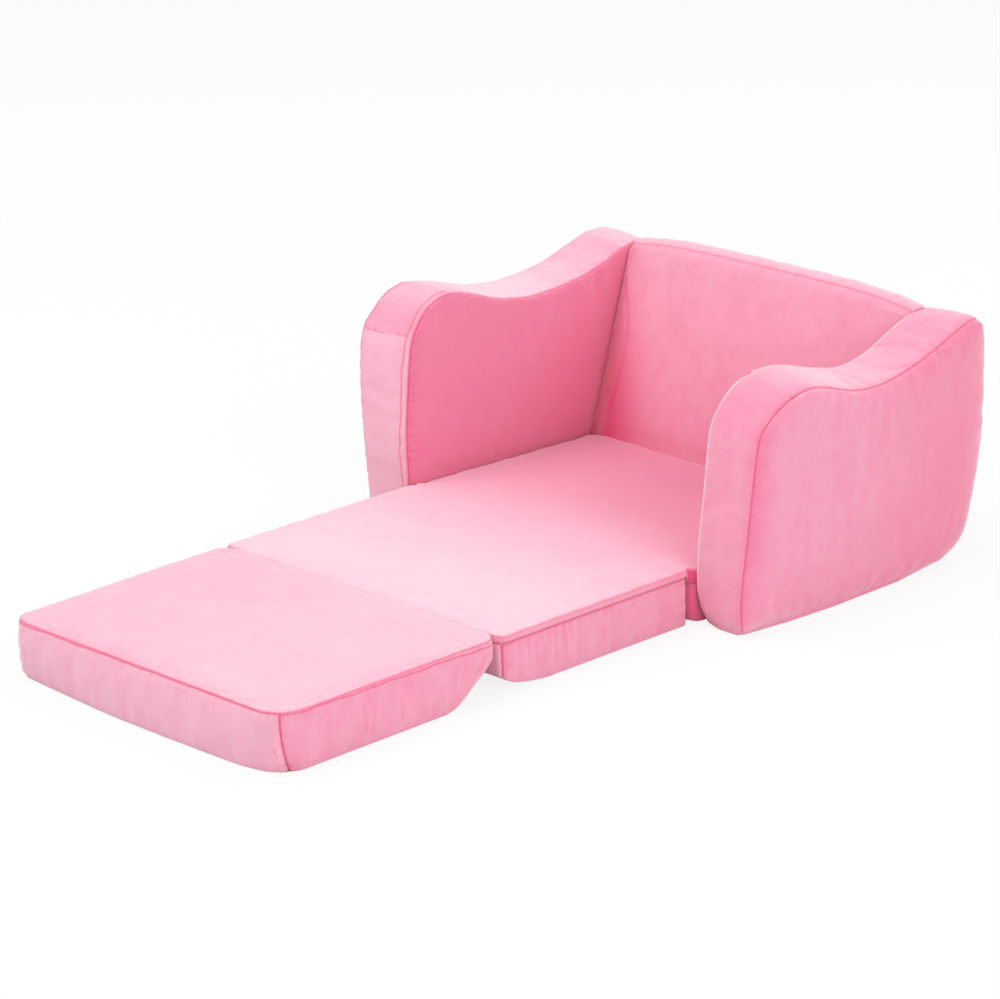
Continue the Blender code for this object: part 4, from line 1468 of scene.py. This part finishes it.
@dataclass
class Arm(Cushion):
    """A curved arm: a flat inner panel, a pillowed outer panel and the boxing between them."""

    side: Side = Side.LEFT
    inner: float = 0.278
    outer: float = 0.366
    front: float = 0.1230
    rear: float = 0.6570
    height: float = 0.356
    inner_profile: Profile | None = None
    outer_profile: Profile | None = None
    crown: float = 9.5 * MM
    crown_reach: float = 13 * MM
    inner_puff: float = 1.0 * MM
    foot_cut: float = 13 * MM
    foot_cut_inner: float = 0.272
    foot_cut_width: float = 48 * MM
    foot_cut_height: float = 63 * MM
    foot_curl: tuple[tuple[float, float], ...] = (
        (0.12, 9 * MM), (0.15, 9 * MM), (0.23, -1 * MM), (0.32, -7 * MM), (0.47, -7 * MM), (0.60, 9 * MM),
        (0.66, 14 * MM),
    )
    curl_height: float = 40 * MM
    floor_gap: float = 0.6 * MM
    inner_groove: float = 2.4 * MM
    outer_groove: float = 2.6 * MM
    boxing_nap: tuple[tuple[float, float], ...] = ((0.0, 0.3), (3.0, 0.3))
    front_welt: float = 0.0
    edge_glint: float = 0.0
    front_pucker: float = 0.45 * MM
    front_shadow: float = 14 * MM
    half_depth: float = 0.265

    def low(self) -> Point:
        """The lowest corner of the arm's block."""
        return (min(self.side.value * self.inner, self.side.value * self.outer), self.front, 0.0)

    def high(self) -> Point:
        """The highest corner of the arm's block."""
        return (max(self.side.value * self.inner, self.side.value * self.outer), self.rear, self.height)

    def foot_place(self, x: np.ndarray, z: np.ndarray) -> np.ndarray:
        """Where points lie towards the inner lower front corner: 0 in it, 1 on the line that cuts it off."""
        return (np.abs(x) - self.foot_cut_inner) / self.foot_cut_width + z / self.foot_cut_height

    def sewn(self, share: np.ndarray) -> np.ndarray:
        """Fits the block's two sides to their outlines."""
        a, b, c = share[:, 0] * self.side.value, (share[:, 1] + 1) / 2, (share[:, 2] + 1) / 2
        across = ((a + 1) / 2)[:, None]
        flat = (1 - across) * self.inner_profile.filled(b, c) + across * self.outer_profile.filled(b, c)
        x = self.inner + (self.outer - self.inner) * across[:, 0]
        low = np.clip(1 - (flat[:, 1] - self.floor_gap) / self.curl_height, 0, 1)
        curl = np.interp(flat[:, 0], *np.array(self.foot_curl).T)
        x = x - curl * low**2 * np.clip(a, 0, 1)
        in_corner = smooth_step(1.05 - self.foot_place(x, flat[:, 1])) * (1 - smooth_step(b / 0.12))
        cut = self.foot_cut * in_corner
        return np.column_stack([x * self.side.value, flat[:, 0] + cut, flat[:, 1]])

    def swell(self, share: np.ndarray, distance: np.ndarray) -> np.ndarray:
        """Pillows the outer panel, and puffs up the boxing and the inner panel a little."""
        a = share[:, 0] * self.side.value
        amount = np.where(a > ON_FACE, self.crown, np.where(a < -ON_FACE, self.inner_puff, self.puff))
        reach = np.where(a > ON_FACE, self.crown_reach, self.puff_reach)
        return amount * (1 - np.exp(-distance / reach)) * self.free(share)

    def seams(self) -> list[Seam]:
        """The seams round the inner and the outer panel, in four stretches each."""
        made = []
        for a, tint, pucker in ((-1, 0.85, 0.34 * MM), (1, 0.8, 0.22 * MM)):
            x = a * self.side.value
            # Painted shade in the seams and beside the outer ones, and a painted highlight along the inner
            # edge where set.
            look = dict(roll=1.2 * MM, roll_width=6 * MM, tint=tint, halo=0.0 if a < 0 else 0.16)
            glint = self.edge_glint if a < 0 else 0.0
            groove = self.inner_groove if a < 0 else self.outer_groove
            made.append(Seam(Axis.Y, (x, 1), groove, pucker=pucker, band=Axis.Z, glint=glint, **look))
            for end in (-1, 1):
                in_front = a < 0 and end < 0
                welt = self.front_welt if in_front else 0.0
                pucker_here = self.front_pucker if in_front else pucker * 1.3
                upright = Seam(
                    Axis.Z, (x, end), groove, pucker=pucker_here, pucker_pitch=7 * MM, band=Axis.Y,
                    welt=(welt, 0.8 * welt), glint=glint if end < 0 else 0.0,
                    calm=0.85 if in_front and welt else 0.0, **look,
                )
                made.append(upright)
            floor = Seam(Axis.Y, (x, -1), 0.3 * MM, roll=1.2 * MM, roll_width=6 * MM, pucker=0.0, tint=0.3)
            made.append(floor)
        return made

    def free(self, share: np.ndarray) -> np.ndarray:
        """Keeps the underside and the part of the inner panel beside the seat and the back flat."""
        a, b, c = share[:, 0] * self.side.value, share[:, 1], share[:, 2]
        above = smooth_step((c + 1) * 6)
        inner = smooth_step((-a - 0.9) * 10)
        seat = smooth_step((c + 0.52) * 12) * smooth_step((0.62 - b) * 9)
        return above * (1 - inner * (1 - seat))

    def nap(self, share: np.ndarray) -> np.ndarray:
        """Partly the pile, partly painted light and shade: pale on the boxing, and darker on the panels, the
        inner one most.
        """
        a = share[:, 0] * self.side.value
        boxing = np.interp(self.along_boxing(share), *np.array(self.boxing_nap).T)
        return np.where(a > ON_FACE, 0.10, np.where(a < -ON_FACE, 0.0, boxing))

    def along_boxing(self, share: np.ndarray) -> np.ndarray:
        """Where points lie along the boxing: up to 1 on the front, to 2 on the top and to 3 on the rear."""
        spots = self.sewn(share)
        height, depth = spots[:, 2] / self.height, (spots[:, 1] - self.front) / (self.rear - self.front)
        behind = np.where(share[:, 2] > ON_FACE, 1 + depth, 3 - height)
        return np.where(share[:, 1] < -ON_FACE, np.minimum(height, 1), behind)

    def shade(self, share: np.ndarray) -> np.ndarray:
        """Painted shade: deep inside, towards the back and the seat, and at the foot."""
        a = share[:, 0] * self.side.value
        b, c = share[:, 1], share[:, 2]
        inside = 0.06 + 0.20 * smooth_step((b + 0.2) / 0.9) + 0.14 * smooth_step((0.1 - c) / 0.8)
        spots = self.sewn(share)
        cut = 1.1 - self.foot_place(spots[:, 0], spots[:, 2])
        foot = 0.60 * smooth_step(cut * 5) * (b < -ON_FACE)
        behind_edge = (b + 1) * self.half_depth
        beside_front = 0.24 * np.exp(-behind_edge / self.front_shadow) * smooth_step((c + 0.9) / 0.6)
        outside = 0.34 * smooth_step((b + 0.35) / 1.1) + 0.14 * smooth_step((-0.5 - c) / 0.5) + beside_front
        return np.where(a < -ON_FACE, inside, np.where(a > ON_FACE, outside, foot))


@dataclass
class FloorHinge:
    """The cloth strip on the floor that joins the two panels under their notch."""

    name: str = "floor_fold_strip"
    cells: tuple[int, int, int] = (40, 24, 1)
    inset: float = 0.6 * MM
    bend_reach: float = 12 * MM

    def build(self, fold: Vector, finishes: Finishes) -> None:
        """Lays the strip under the notch.

        Args:
            fold: a point on the fold's axis; not used.
            finishes: the sofa's finishes.
        """
        low, high = (np.array(corner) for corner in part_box("floor_fold_hinge"))
        obj = Bench.block(self.name, tuple(low + self.inset * np.array([1, 1, 0])), tuple(high), self.cells)
        Bench.finish(obj, finishes.grip, 40)
        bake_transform(obj)
        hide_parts("floor_fold_hinge")
        LOG.info("%s: %d faces", self.name, len(obj.data.polygons))


@dataclass
class ChairUnderside:
    """The one floor cloth under the arms, the seat and the back."""

    name: str = "chair_underside"
    cells: tuple[int, int, int] = (12, 8, 1)
    inset: float = 24 * MM
    edge_radius: float = 0.4 * MM

    def build(self, finishes: Finishes) -> None:
        """Cuts the cloth a little smaller than the chair's footprint."""
        low, high = (np.array(corner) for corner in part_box("chair_floor_cloth"))
        trim = self.inset * np.array([1, 1, 0])
        obj = Bench.block(self.name, tuple(low + trim), tuple(high - trim), self.cells)
        Bench.apply(obj, "BEVEL", width=self.edge_radius, segments=2, limit_method="ANGLE")
        Bench.finish(obj, finishes.grip, 40)
        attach(obj, "chair")
        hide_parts("chair_floor_cloth")
        LOG.info("%s: %d faces", self.name, len(obj.data.polygons))


@dataclass(frozen=True)
class Camera:
    """The photograph's viewing angle."""

    place: Point = (3.68272, -3.85470, 1.94170)
    azimuth: float = math.radians(43.483)
    elevation: float = math.radians(18.564)
    roll: float = math.radians(0.2231)
    lens: float = 144.0
    sensor: float = 36.0

    def build(self) -> None:
        """Sets the camera up."""
        lens = bpy.data.cameras.new("camera")
        lens.lens = self.lens
        lens.sensor_width = self.sensor
        lens.clip_end = 60
        camera = bpy.data.objects.new("camera", lens)
        bpy.context.scene.collection.objects.link(camera)
        flat, rise = math.cos(self.elevation), math.sin(self.elevation)
        back = Vector((math.sin(self.azimuth) * flat, -math.cos(self.azimuth) * flat, rise))
        right = (-back).cross(Vector((0, 0, 1))).normalized()
        up = right.cross(-back)
        turned_right = right * math.cos(self.roll) + up * math.sin(self.roll)
        turned_up = up * math.cos(self.roll) - right * math.sin(self.roll)
        camera.matrix_world = Matrix(
            (
                (turned_right.x, turned_up.x, back.x, self.place[0]),
                (turned_right.y, turned_up.y, back.y, self.place[1]),
                (turned_right.z, turned_up.z, back.z, self.place[2]),
                (0, 0, 0, 1),
            )
        )
        bpy.context.scene.camera = camera


@dataclass(frozen=True)
class Lamp:
    """A soft rectangular lamp that points at the sofa."""

    name: str
    place: Point
    size: float
    power: float

    def build(self, aim: Vector) -> None:
        """Hangs the lamp."""
        light = bpy.data.lights.new(self.name, "AREA")
        light.shape = "SQUARE"
        light.size = self.size
        light.energy = self.power
        lamp = bpy.data.objects.new(self.name, light)
        bpy.context.scene.collection.objects.link(lamp)
        lamp.location = self.place
        lamp.rotation_euler = (Vector(self.place) - aim).to_track_quat("Z", "Y").to_euler()


@dataclass(frozen=True)
class Studio:
    """A plain pale floor under soft light."""

    lamps: tuple[Lamp, ...] = (
        Lamp("key", (-1.4, -1.5, 4.4), 2.6, 96),
        Lamp("fill", (4.0, -0.9, 2.0), 2.6, 54),
        Lamp("rear", (0.6, 3.2, 3.0), 2.0, 30),
    )
    sky: float = 0.66
    floor_size: float = 14.0
    floor_colour: Colour = (0.86, 0.86, 0.86)
    floor_glow: float = 0.86

    def build(self) -> None:
        """Lays the floor, hangs the lamps and lights the sky."""
        bpy.context.scene.view_settings.view_transform = "Standard"
        bpy.ops.object.select_all(action="DESELECT")
        bpy.ops.mesh.primitive_plane_add(size=self.floor_size, location=(0, 0, -0.3 * MM))
        floor = bpy.context.object
        floor.name = "studio_floor"
        floor.data.materials.append(self.floor_material())
        for lamp in self.lamps:
            lamp.build(Vector((0, 0, 0.1)))
        self.light_sky()

    def floor_material(self) -> bpy.types.Material:
        """White to the camera and in reflections, apart from a soft shadow, and pale to everything else."""
        shader = Shader("studio_floor")
        shader.set(Base_Color=self.floor_colour, Roughness=0.9, Specular_IOR_Level=0.0)
        path = shader.tree.nodes.new("ShaderNodeLightPath")
        seen = Value(shader, path.outputs["Is Camera Ray"]) + Value(shader, path.outputs["Is Glossy Ray"])
        seen = seen + Value(shader, path.outputs["Is Transmission Ray"])
        glow = shader.node("ShaderNodeEmission", {}, {"Color": (1.0, 1.0, 1.0), "Strength": 1.0})
        mixed = shader.node("ShaderNodeMixShader", {}, {0: seen * self.floor_glow})
        node = mixed.socket.node
        shader.tree.links.new(shader.principled.outputs[0], node.inputs[1])
        shader.tree.links.new(glow.socket, node.inputs[2])
        shader.tree.links.new(mixed.socket, shader.output.inputs["Surface"])
        return shader.material

    def light_sky(self) -> None:
        """White to the camera and in reflections, and a level fill to everything else."""
        world = bpy.data.worlds.new("studio")
        world.use_nodes = True
        bpy.context.scene.world = world
        tree = world.node_tree
        background = tree.nodes["Background"]
        background.inputs["Color"].default_value = (1, 1, 1, 1)
        path = tree.nodes.new("ShaderNodeLightPath")
        seen = tree.nodes.new("ShaderNodeMath")
        seen.operation = "MAXIMUM"
        tree.links.new(path.outputs["Is Camera Ray"], seen.inputs[0])
        tree.links.new(path.outputs["Is Glossy Ray"], seen.inputs[1])
        strength = tree.nodes.new("ShaderNodeMath")
        strength.operation = "MULTIPLY_ADD"
        tree.links.new(seen.outputs[0], strength.inputs[0])
        strength.inputs[1].default_value = 1 - self.sky
        strength.inputs[2].default_value = self.sky
        tree.links.new(strength.outputs[0], background.inputs["Strength"])


def upright_creases(across: Point, folds: Sequence[tuple[Point, Point, float, float]]) -> tuple[Crease, ...]:
    """Makes short folds in a cover that faces along X.

    Args:
        across: the places in X of the three points of every fold.
        folds: for every fold the places of its points in Y and in Z, and its depth and width in millimetres.

    Returns:
        The folds.
    """
    return tuple(
        Crease(tuple(zip(across, places, heights)), depth * MM, width * MM)
        for places, heights, depth, width in folds
    )


MIDDLE_CREASES = upright_creases(
    (0.2710, 0.2715, 0.2720),
    (
        ((-0.1883, -0.1860, -0.1840), (0.064, 0.045, 0.020), 0.9, 3.0),
        ((-0.1745, -0.1700, -0.1683), (0.064, 0.045, 0.018), 0.8, 2.6),
        ((-0.1508, -0.1480, -0.1465), (0.066, 0.045, 0.020), 1.1, 3.0),
        ((-0.1330, -0.1290, -0.1267), (0.066, 0.045, 0.024), 0.8, 2.6),
        ((-0.0588, -0.0540, -0.0501), (0.064, 0.040, 0.016), 0.7, 3.2),
    ),
)
END_BOXING = (0.2690, 0.2700, 0.2710)
END_CREASES = (
    Crease(
        ((0.2500, -0.6420, 0.072), (0.2580, -0.6480, 0.055), (0.2560, -0.6540, 0.035),
         (0.2640, -0.6520, 0.012)),
        1.3 * MM, 3 * MM, 0.45,
    ),
    Crease(
        ((0.2400, -0.6500, 0.066), (0.2380, -0.6580, 0.040), (0.2450, -0.6620, 0.015)), -0.9 * MM, tint=0.0
    ),
    Crease(
        ((-0.2213, -0.6480, 0.070), (-0.2200, -0.6560, 0.050), (-0.2178, -0.6620, 0.026)), 1.0 * MM, 3 * MM
    ),
    Crease(
        ((-0.2029, -0.6480, 0.070), (-0.2000, -0.6560, 0.055), (-0.1968, -0.6600, 0.037)), 0.9 * MM, 3 * MM
    ),
    Crease(
        ((-0.1502, -0.6500, 0.070), (-0.1470, -0.6560, 0.060), (-0.1430, -0.6600, 0.048)), 0.7 * MM, 3 * MM
    ),
    *upright_creases(
        END_BOXING,
        (
            ((-0.5109, -0.5090, -0.5060), (0.067, 0.040, 0.013), 0.8, 3.0),
            ((-0.4893, -0.4930, -0.4951), (0.060, 0.035, 0.013), 0.8, 3.4),
            ((-0.4438, -0.4410, -0.4386), (0.062, 0.035, 0.010), 0.7, 3.4),
        ),
    ),
    Crease(
        ((0.2640, -0.2760, 0.074), (0.2680, -0.2860, 0.066), (0.2700, -0.2950, 0.052),
         (0.2710, -0.3060, 0.040)),
        1.4 * MM, 3 * MM, 0.45,
    ),
    Crease(
        ((0.2560, -0.2640, 0.074), (0.2660, -0.2740, 0.062), (0.2700, -0.2840, 0.050)),
        1.2 * MM, 2.6 * MM, 0.45,
    ),
    *upright_creases(END_BOXING, (((-0.3150, -0.3230, -0.3300), (0.074, 0.058, 0.036), 0.8, 3.4),)),
)
LEFT_ARM_CREASES = (
    Crease(
        ((-0.3700, 0.6140, 0.3610), (-0.3200, 0.6070, 0.3590), (-0.2760, 0.6000, 0.3530)),
        1.4 * MM, 3.2 * MM, 0.4,
    ),
    Crease(
        ((-0.3720, 0.1220, 0.3062), (-0.3500, 0.1230, 0.3055), (-0.3220, 0.1270, 0.3045),
         (-0.2950, 0.1330, 0.3038), (-0.2740, 0.1370, 0.3030)),
        1.5 * MM, 1.8 * MM, 0.75, Axis.Y,
    ),
    *upright_creases(
        (-0.2770, -0.2770, -0.2770),
        (
            ((0.4211, 0.4330, 0.4480), (0.086, 0.100, 0.128), 0.9, 3.4),
            ((0.4593, 0.4720, 0.4860), (0.090, 0.110, 0.145), 1.0, 3.4),
            ((0.4937, 0.5010, 0.5080), (0.078, 0.100, 0.140), 0.9, 3.0),
            ((0.3190, 0.3500, 0.3800), (0.088, 0.096, 0.110), 0.6, 4.0),
        ),
    ),
)
RIGHT_ARM_CREASES = (
    Crease(
        ((0.3740, 0.5600, 0.030), (0.3740, 0.5750, 0.060), (0.3740, 0.5900, 0.100)), 0.5 * MM, 5 * MM, 0.1
    ),
)
BACK_CREASES = (
    Crease(
        ((-0.2700, 0.5870, 0.3250), (-0.2600, 0.5760, 0.2930), (-0.2431, 0.5650, 0.2616),
         (-0.2319, 0.5510, 0.2211), (-0.2307, 0.5310, 0.1626), (-0.2392, 0.5080, 0.0937)),
        2.6 * MM, 3.2 * MM, 0.7, Axis.Y,
    ),
    Crease(
        ((-0.2301, 0.5920, 0.345), (-0.2200, 0.5740, 0.289), (-0.2050, 0.5480, 0.212)), 0.9 * MM, 6 * MM, 0.15
    ),
    Crease(
        ((-0.1856, 0.5950, 0.352), (-0.1679, 0.5780, 0.300), (-0.1462, 0.5550, 0.233)), 0.7 * MM, 7 * MM, 0.12
    ),
)


class Upholstery:
    """All the cushions, simulated together and then sewn one by one."""

    FRAMES = 20

    def __init__(self, cushions: Sequence[Cushion]) -> None:
        """Takes the cushions."""
        self.cushions = cushions

    def build(self, finishes: Finishes) -> None:
        """Cuts, puffs up, sews and dresses the cushions."""
        for cushion in self.cushions:
            cushion.cut()
        self.simulate()
        for cushion in self.cushions:
            cushion.sew()
            cushion.dress(finishes)

    def simulate(self) -> None:
        """Runs the cloth solver on every cover at once, and keeps what it makes."""
        for cushion in self.cushions:
            cushion.dress_for_simulation()
        for frame in range(1, self.FRAMES + 1):
            bpy.context.scene.frame_set(frame)
        for cushion in self.cushions:
            cushion.take_simulation()
        bpy.context.scene.frame_set(1)


ARM_REAR = ((0.6553, 0.1966), (0.6468, 0.1187), (0.6275, 0.0549), (0.6010, 0.0175), (0.5640, 0.0006))
RIGHT_REAR = (
    (0.6590, 0.2941), (0.6620, 0.2331), (0.6615, 0.1723), (0.6520, 0.1135), (0.6450, 0.0845),
    (0.6355, 0.0520), (0.6190, 0.0260), (0.5960, 0.0110), (0.5660, 0.0006),
)
LEFT_INNER = Profile(
    (
        (0.1390, 0.0006), (0.1315, 0.0300), (0.1269, 0.0751), (0.1220, 0.1492), (0.1245, 0.2100),
        (0.1278, 0.2553), (0.1330, 0.2925), (0.1436, 0.3150), (0.1640, 0.3389), (0.1887, 0.3508),
        (0.2129, 0.3545),
    ),
    (
        (0.2361, 0.3525), (0.2724, 0.3420), (0.3090, 0.3293), (0.3415, 0.3220), (0.3854, 0.3163),
        (0.4296, 0.3168), (0.4742, 0.3205), (0.5192, 0.3275), (0.5532, 0.3367), (0.5759, 0.3450),
        (0.5940, 0.3515), (0.6250, 0.3560), (0.6430, 0.3545), (0.6520, 0.3460),
    ),
    ((0.6545, 0.3250), (0.6558, 0.2600), *ARM_REAR),
)
LEFT_OUTER = Profile(
    (
        (0.1370, 0.0006), (0.1300, 0.0317), (0.1255, 0.0642), (0.1178, 0.1288), (0.1122, 0.1923),
        (0.1106, 0.2391), (0.1120, 0.2800), (0.1165, 0.2996), (0.1235, 0.3136), (0.1371, 0.3268),
        (0.1510, 0.3396), (0.1720, 0.3508), (0.2042, 0.3570),
    ),
    (
        (0.2400, 0.3520), (0.2848, 0.3405), (0.3200, 0.3315), (0.3550, 0.3255), (0.3850, 0.3230),
        (0.4155, 0.3225), (0.4533, 0.3255), (0.5025, 0.3324), (0.5364, 0.3418), (0.5681, 0.3517),
        (0.5980, 0.3600), (0.6250, 0.3612), (0.6450, 0.3590), (0.6545, 0.3500),
    ),
    ((0.6562, 0.3300), (0.6562, 0.2600), *ARM_REAR),
)
RIGHT_INNER = Profile(
    (
        (0.1400, 0.0006), (0.1345, 0.0300), (0.1310, 0.0800), (0.1332, 0.1335), (0.1400, 0.1874),
        (0.1451, 0.2355), (0.1500, 0.2763), (0.1565, 0.2940), (0.1681, 0.3102), (0.1820, 0.3240),
        (0.1976, 0.3347), (0.2150, 0.3415), (0.2335, 0.3459),
    ),
    (
        (0.2560, 0.3480), (0.2798, 0.3475), (0.3050, 0.3430), (0.3326, 0.3353), (0.3600, 0.3275),
        (0.3864, 0.3211), (0.4140, 0.3155), (0.4403, 0.3137), (0.4728, 0.3176), (0.5048, 0.3263),
        (0.5430, 0.3422), (0.5862, 0.3560), (0.6200, 0.3590), (0.6400, 0.3570), (0.6490, 0.3490),
    ),
    ((0.6540, 0.3350), *RIGHT_REAR),
)
RIGHT_OUTER = Profile(
    (
        (0.1400, 0.0006), (0.1275, 0.0269), (0.1258, 0.0632), (0.1330, 0.1223), (0.1380, 0.1600),
        (0.1430, 0.2011), (0.1492, 0.2481), (0.1552, 0.2800), (0.1625, 0.2930), (0.1730, 0.3025),
        (0.1880, 0.3130), (0.2051, 0.3215), (0.2280, 0.3295),
    ),
    (
        (0.2528, 0.3340), (0.2760, 0.3335), (0.3019, 0.3280), (0.3340, 0.3185), (0.3647, 0.3105),
        (0.4000, 0.3067), (0.4404, 0.3082), (0.4780, 0.3145), (0.5165, 0.3235), (0.5500, 0.3340),
        (0.5900, 0.3480), (0.6200, 0.3570), (0.6400, 0.3580), (0.6490, 0.3480),
    ),
    ((0.6545, 0.3300), *RIGHT_REAR),
)
END_FOOT_LINE = (
    (-1.00, -9 * MM), (-0.90, -7 * MM), (-0.69, -2 * MM), (-0.49, 2 * MM), (-0.29, 6 * MM), (-0.11, 8 * MM),
    (0.25, 8.5 * MM), (0.58, 7.5 * MM), (0.75, 6 * MM), (0.88, -1.5 * MM), (0.97, -8 * MM), (1.00, -14 * MM),
)
END_NOTCH = (
    (0.0, 0.0620), (0.0208, 0.0505), (0.0323, 0.0409), (0.0418, 0.0345), (0.0570, 0.0237), (0.0703, 0.0133),
    (0.0873, 0.0040), (0.1050, 0.0),
)
MIDDLE_NOTCH = ((0.0, 0.0240), (0.0176, 0.0132), (0.0257, 0.0102), (0.0530, 0.0045), (0.0900, 0.0))
# The pale share along each arm's boxing: partly pile, partly painted light and shade.
LEFT_BOXING_NAP_AND_LIGHT = (
    (0.0, 0.66), (0.70, 0.80), (0.845, 0.80), (0.865, 0.34), (1.00, 0.34), (1.12, 0.42), (1.30, 0.95),
    (1.50, 0.95), (1.74, 0.50), (1.87, 0.36), (1.895, 0.66), (2.00, 0.68), (3.00, 0.40),
)
RIGHT_BOXING_NAP_AND_LIGHT = (
    (0.0, 0.14), (0.30, 0.26), (0.75, 0.24), (0.90, 0.10), (1.00, 0.10), (1.15, 0.16), (1.40, 0.30),
    (1.60, 0.26), (1.85, 0.10), (2.00, 0.18), (3.00, 0.20),
)


@dataclass(frozen=True)
class Layout:
    """Where the cushions stand in the frame, measured from its two folds and from the foot of its back."""

    seat_fold: Vector
    floor_fold: Vector
    gap: float = 0.6 * MM
    middle_clear: float = 0.3 * MM
    end_clear: float = 0.1 * MM
    front_overhang: float = 17 * MM
    lid_under_back: float = 19 * MM
    back_setback: float = 8 * MM

    def cushions(self) -> list[Cushion]:
        """All the cushions, in the order in which they are made."""
        back_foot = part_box("seat_top_panel")[1][1]
        return [
            self.middle_panel(), self.end_panel(), self.seat(back_foot), self.lid(back_foot),
            self.left_arm(), self.right_arm(), self.back(back_foot),
        ]

    def middle_panel(self) -> FoldingPanel:
        """The panel next to the seat, under the lid."""
        return FoldingPanel(
            "middle_cushion", "middle_panel", panel_nodes("middle", "foam", "floor_cloth"), (30, 43, 13), 11,
            front=self.floor_fold.y + self.middle_clear, rear=self.seat_fold.y - self.gap, top_height=0.0705,
            crown=0.0, rear_radius=7 * MM, side_flare=2.5 * MM, rear_widening=1.5 * MM, notch=MIDDLE_NOTCH,
            notch_at_front=True, has_lid=True, zip_node="middle_zip", grip_below=True, creases=MIDDLE_CREASES,
        )

    def end_panel(self) -> FoldingPanel:
        """The panel furthest from the seat."""
        nodes = panel_nodes("end", "foam", "floor_cloth", "top_panel")
        return FoldingPanel(
            "end_cushion", "end_panel", nodes, (57, 43, 13), 23,
            front=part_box("end_top_panel")[0][1] - self.front_overhang,
            rear=self.floor_fold.y + self.end_clear, rear_radius=30 * MM, front_radii=(34 * MM, 10 * MM),
            foot_round=24 * MM, front_bulge=4 * MM, corner_rise=6 * MM, top_height=0.0820, crown=0.0030,
            left_taper=10 * MM, foot_line=END_FOOT_LINE, notch=END_NOTCH, grip_below=True,
            creases=END_CREASES,
        )

    def seat(self, back_foot: float) -> Seat:
        """The fixed seat between the arms."""
        return Seat(
            "seat_cushion", "chair", ("seat_foam", "seat_front_panel"), (16, 16, 5), 37,
            front=self.seat_fold.y + self.gap, rear=back_foot - self.gap,
        )

    def lid(self, back_foot: float) -> Lid:
        """The top panel over the seat and the middle panel, which runs in under the back."""
        return Lid(
            "seat_and_middle_top", "chair", ("seat_fold_hinge", "seat_top_panel", "middle_top_panel"),
            (38, 50, 2), 43, fine=4.0 * MM, fine_cells=3, front=self.floor_fold.y + self.middle_clear,
            rear=back_foot + self.lid_under_back, fold=self.seat_fold.y,
            highest=self.seat_fold.z - Lid.fold_sag,
        )

    def left_arm(self) -> Arm:
        """The left arm, with a welt down its front and a cross seam under its hump."""
        return self.arm(
            "left_arm", 41, side=Side.LEFT, front_welt=13 * MM, front_pucker=0.9 * MM,
            inner_profile=LEFT_INNER, outer_profile=LEFT_OUTER, boxing_nap=LEFT_BOXING_NAP_AND_LIGHT,
            creases=LEFT_ARM_CREASES,
        )

    def right_arm(self) -> Arm:
        """The right arm, with a painted highlight along its inner edge."""
        return self.arm(
            "right_arm", 53, side=Side.RIGHT, edge_glint=0.95, inner_groove=0.5 * MM,
            inner_profile=RIGHT_INNER, outer_profile=RIGHT_OUTER, boxing_nap=RIGHT_BOXING_NAP_AND_LIGHT,
            creases=RIGHT_ARM_CREASES,
        )

    def arm(self, name: str, seed: int, **look: object) -> Arm:
        """Makes one arm, in place of its foam and its four pieces of cover.

        Args:
            name: what its nodes' names begin with.
            seed: what its random draws start from.
            look: its other sizes and looks.

        Returns:
            The arm.
        """
        pieces = ("foam", "outer_panel", "inner_panel", "front_boxing", "top_boxing")
        nodes = tuple(f"{name}_{piece}" for piece in pieces)
        return Arm(f"{name}_cushion", "chair", nodes, (15, 57, 40), seed, **look)

    def back(self, back_foot: float) -> Back:
        """The backrest."""
        return Back(
            "back_cushion", "chair", ("back_foam", "back_front_panel", "back_top_boxing", "back_rear_panel"),
            (59, 10, 41), 67, foot=back_foot + self.back_setback, creases=BACK_CREASES,
        )


def panel_nodes(name: str, *others: str) -> tuple[str, ...]:
    """The frame's nodes that a folding panel's cushion stands for."""
    boxing = tuple(f"{name}_{side}_boxing" for side in ("front", "rear", "left", "right"))
    return (*(f"{name}_{node}" for node in others), *boxing)


def dress_frame_zips(frame: dict, finishes: Finishes) -> None:
    """Gives the frame's own zips and sliders their finishes."""
    for name, node in frame["nodes"].items():
        if name.endswith("_zip_slider"):
            node.data.materials.clear()
            node.data.materials.append(finishes.enamel)
        elif name.endswith("_zip"):
            node.data.materials.clear()
            node.data.materials.append(finishes.nylon)


def main() -> None:
    """Builds the sofa around its frame."""
    logging.basicConfig(level=logging.INFO, format="%(message)s")
    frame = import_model()
    Camera().build()
    Studio().build()
    folds = {joint["name"]: Vector(joint["pos_m"]) for joint in frame["joints"] if "pos_m" in joint}
    seat_fold, floor_fold = folds["middle_panel_fold"], folds["end_panel_fold"]
    finishes = Finishes()
    Upholstery(Layout(seat_fold, floor_fold).cushions()).build(finishes)
    FloorHinge().build(floor_fold, finishes)
    ChairUnderside().build(finishes)
    dress_frame_zips(frame, finishes)


if __name__ == "__main__":
    main()
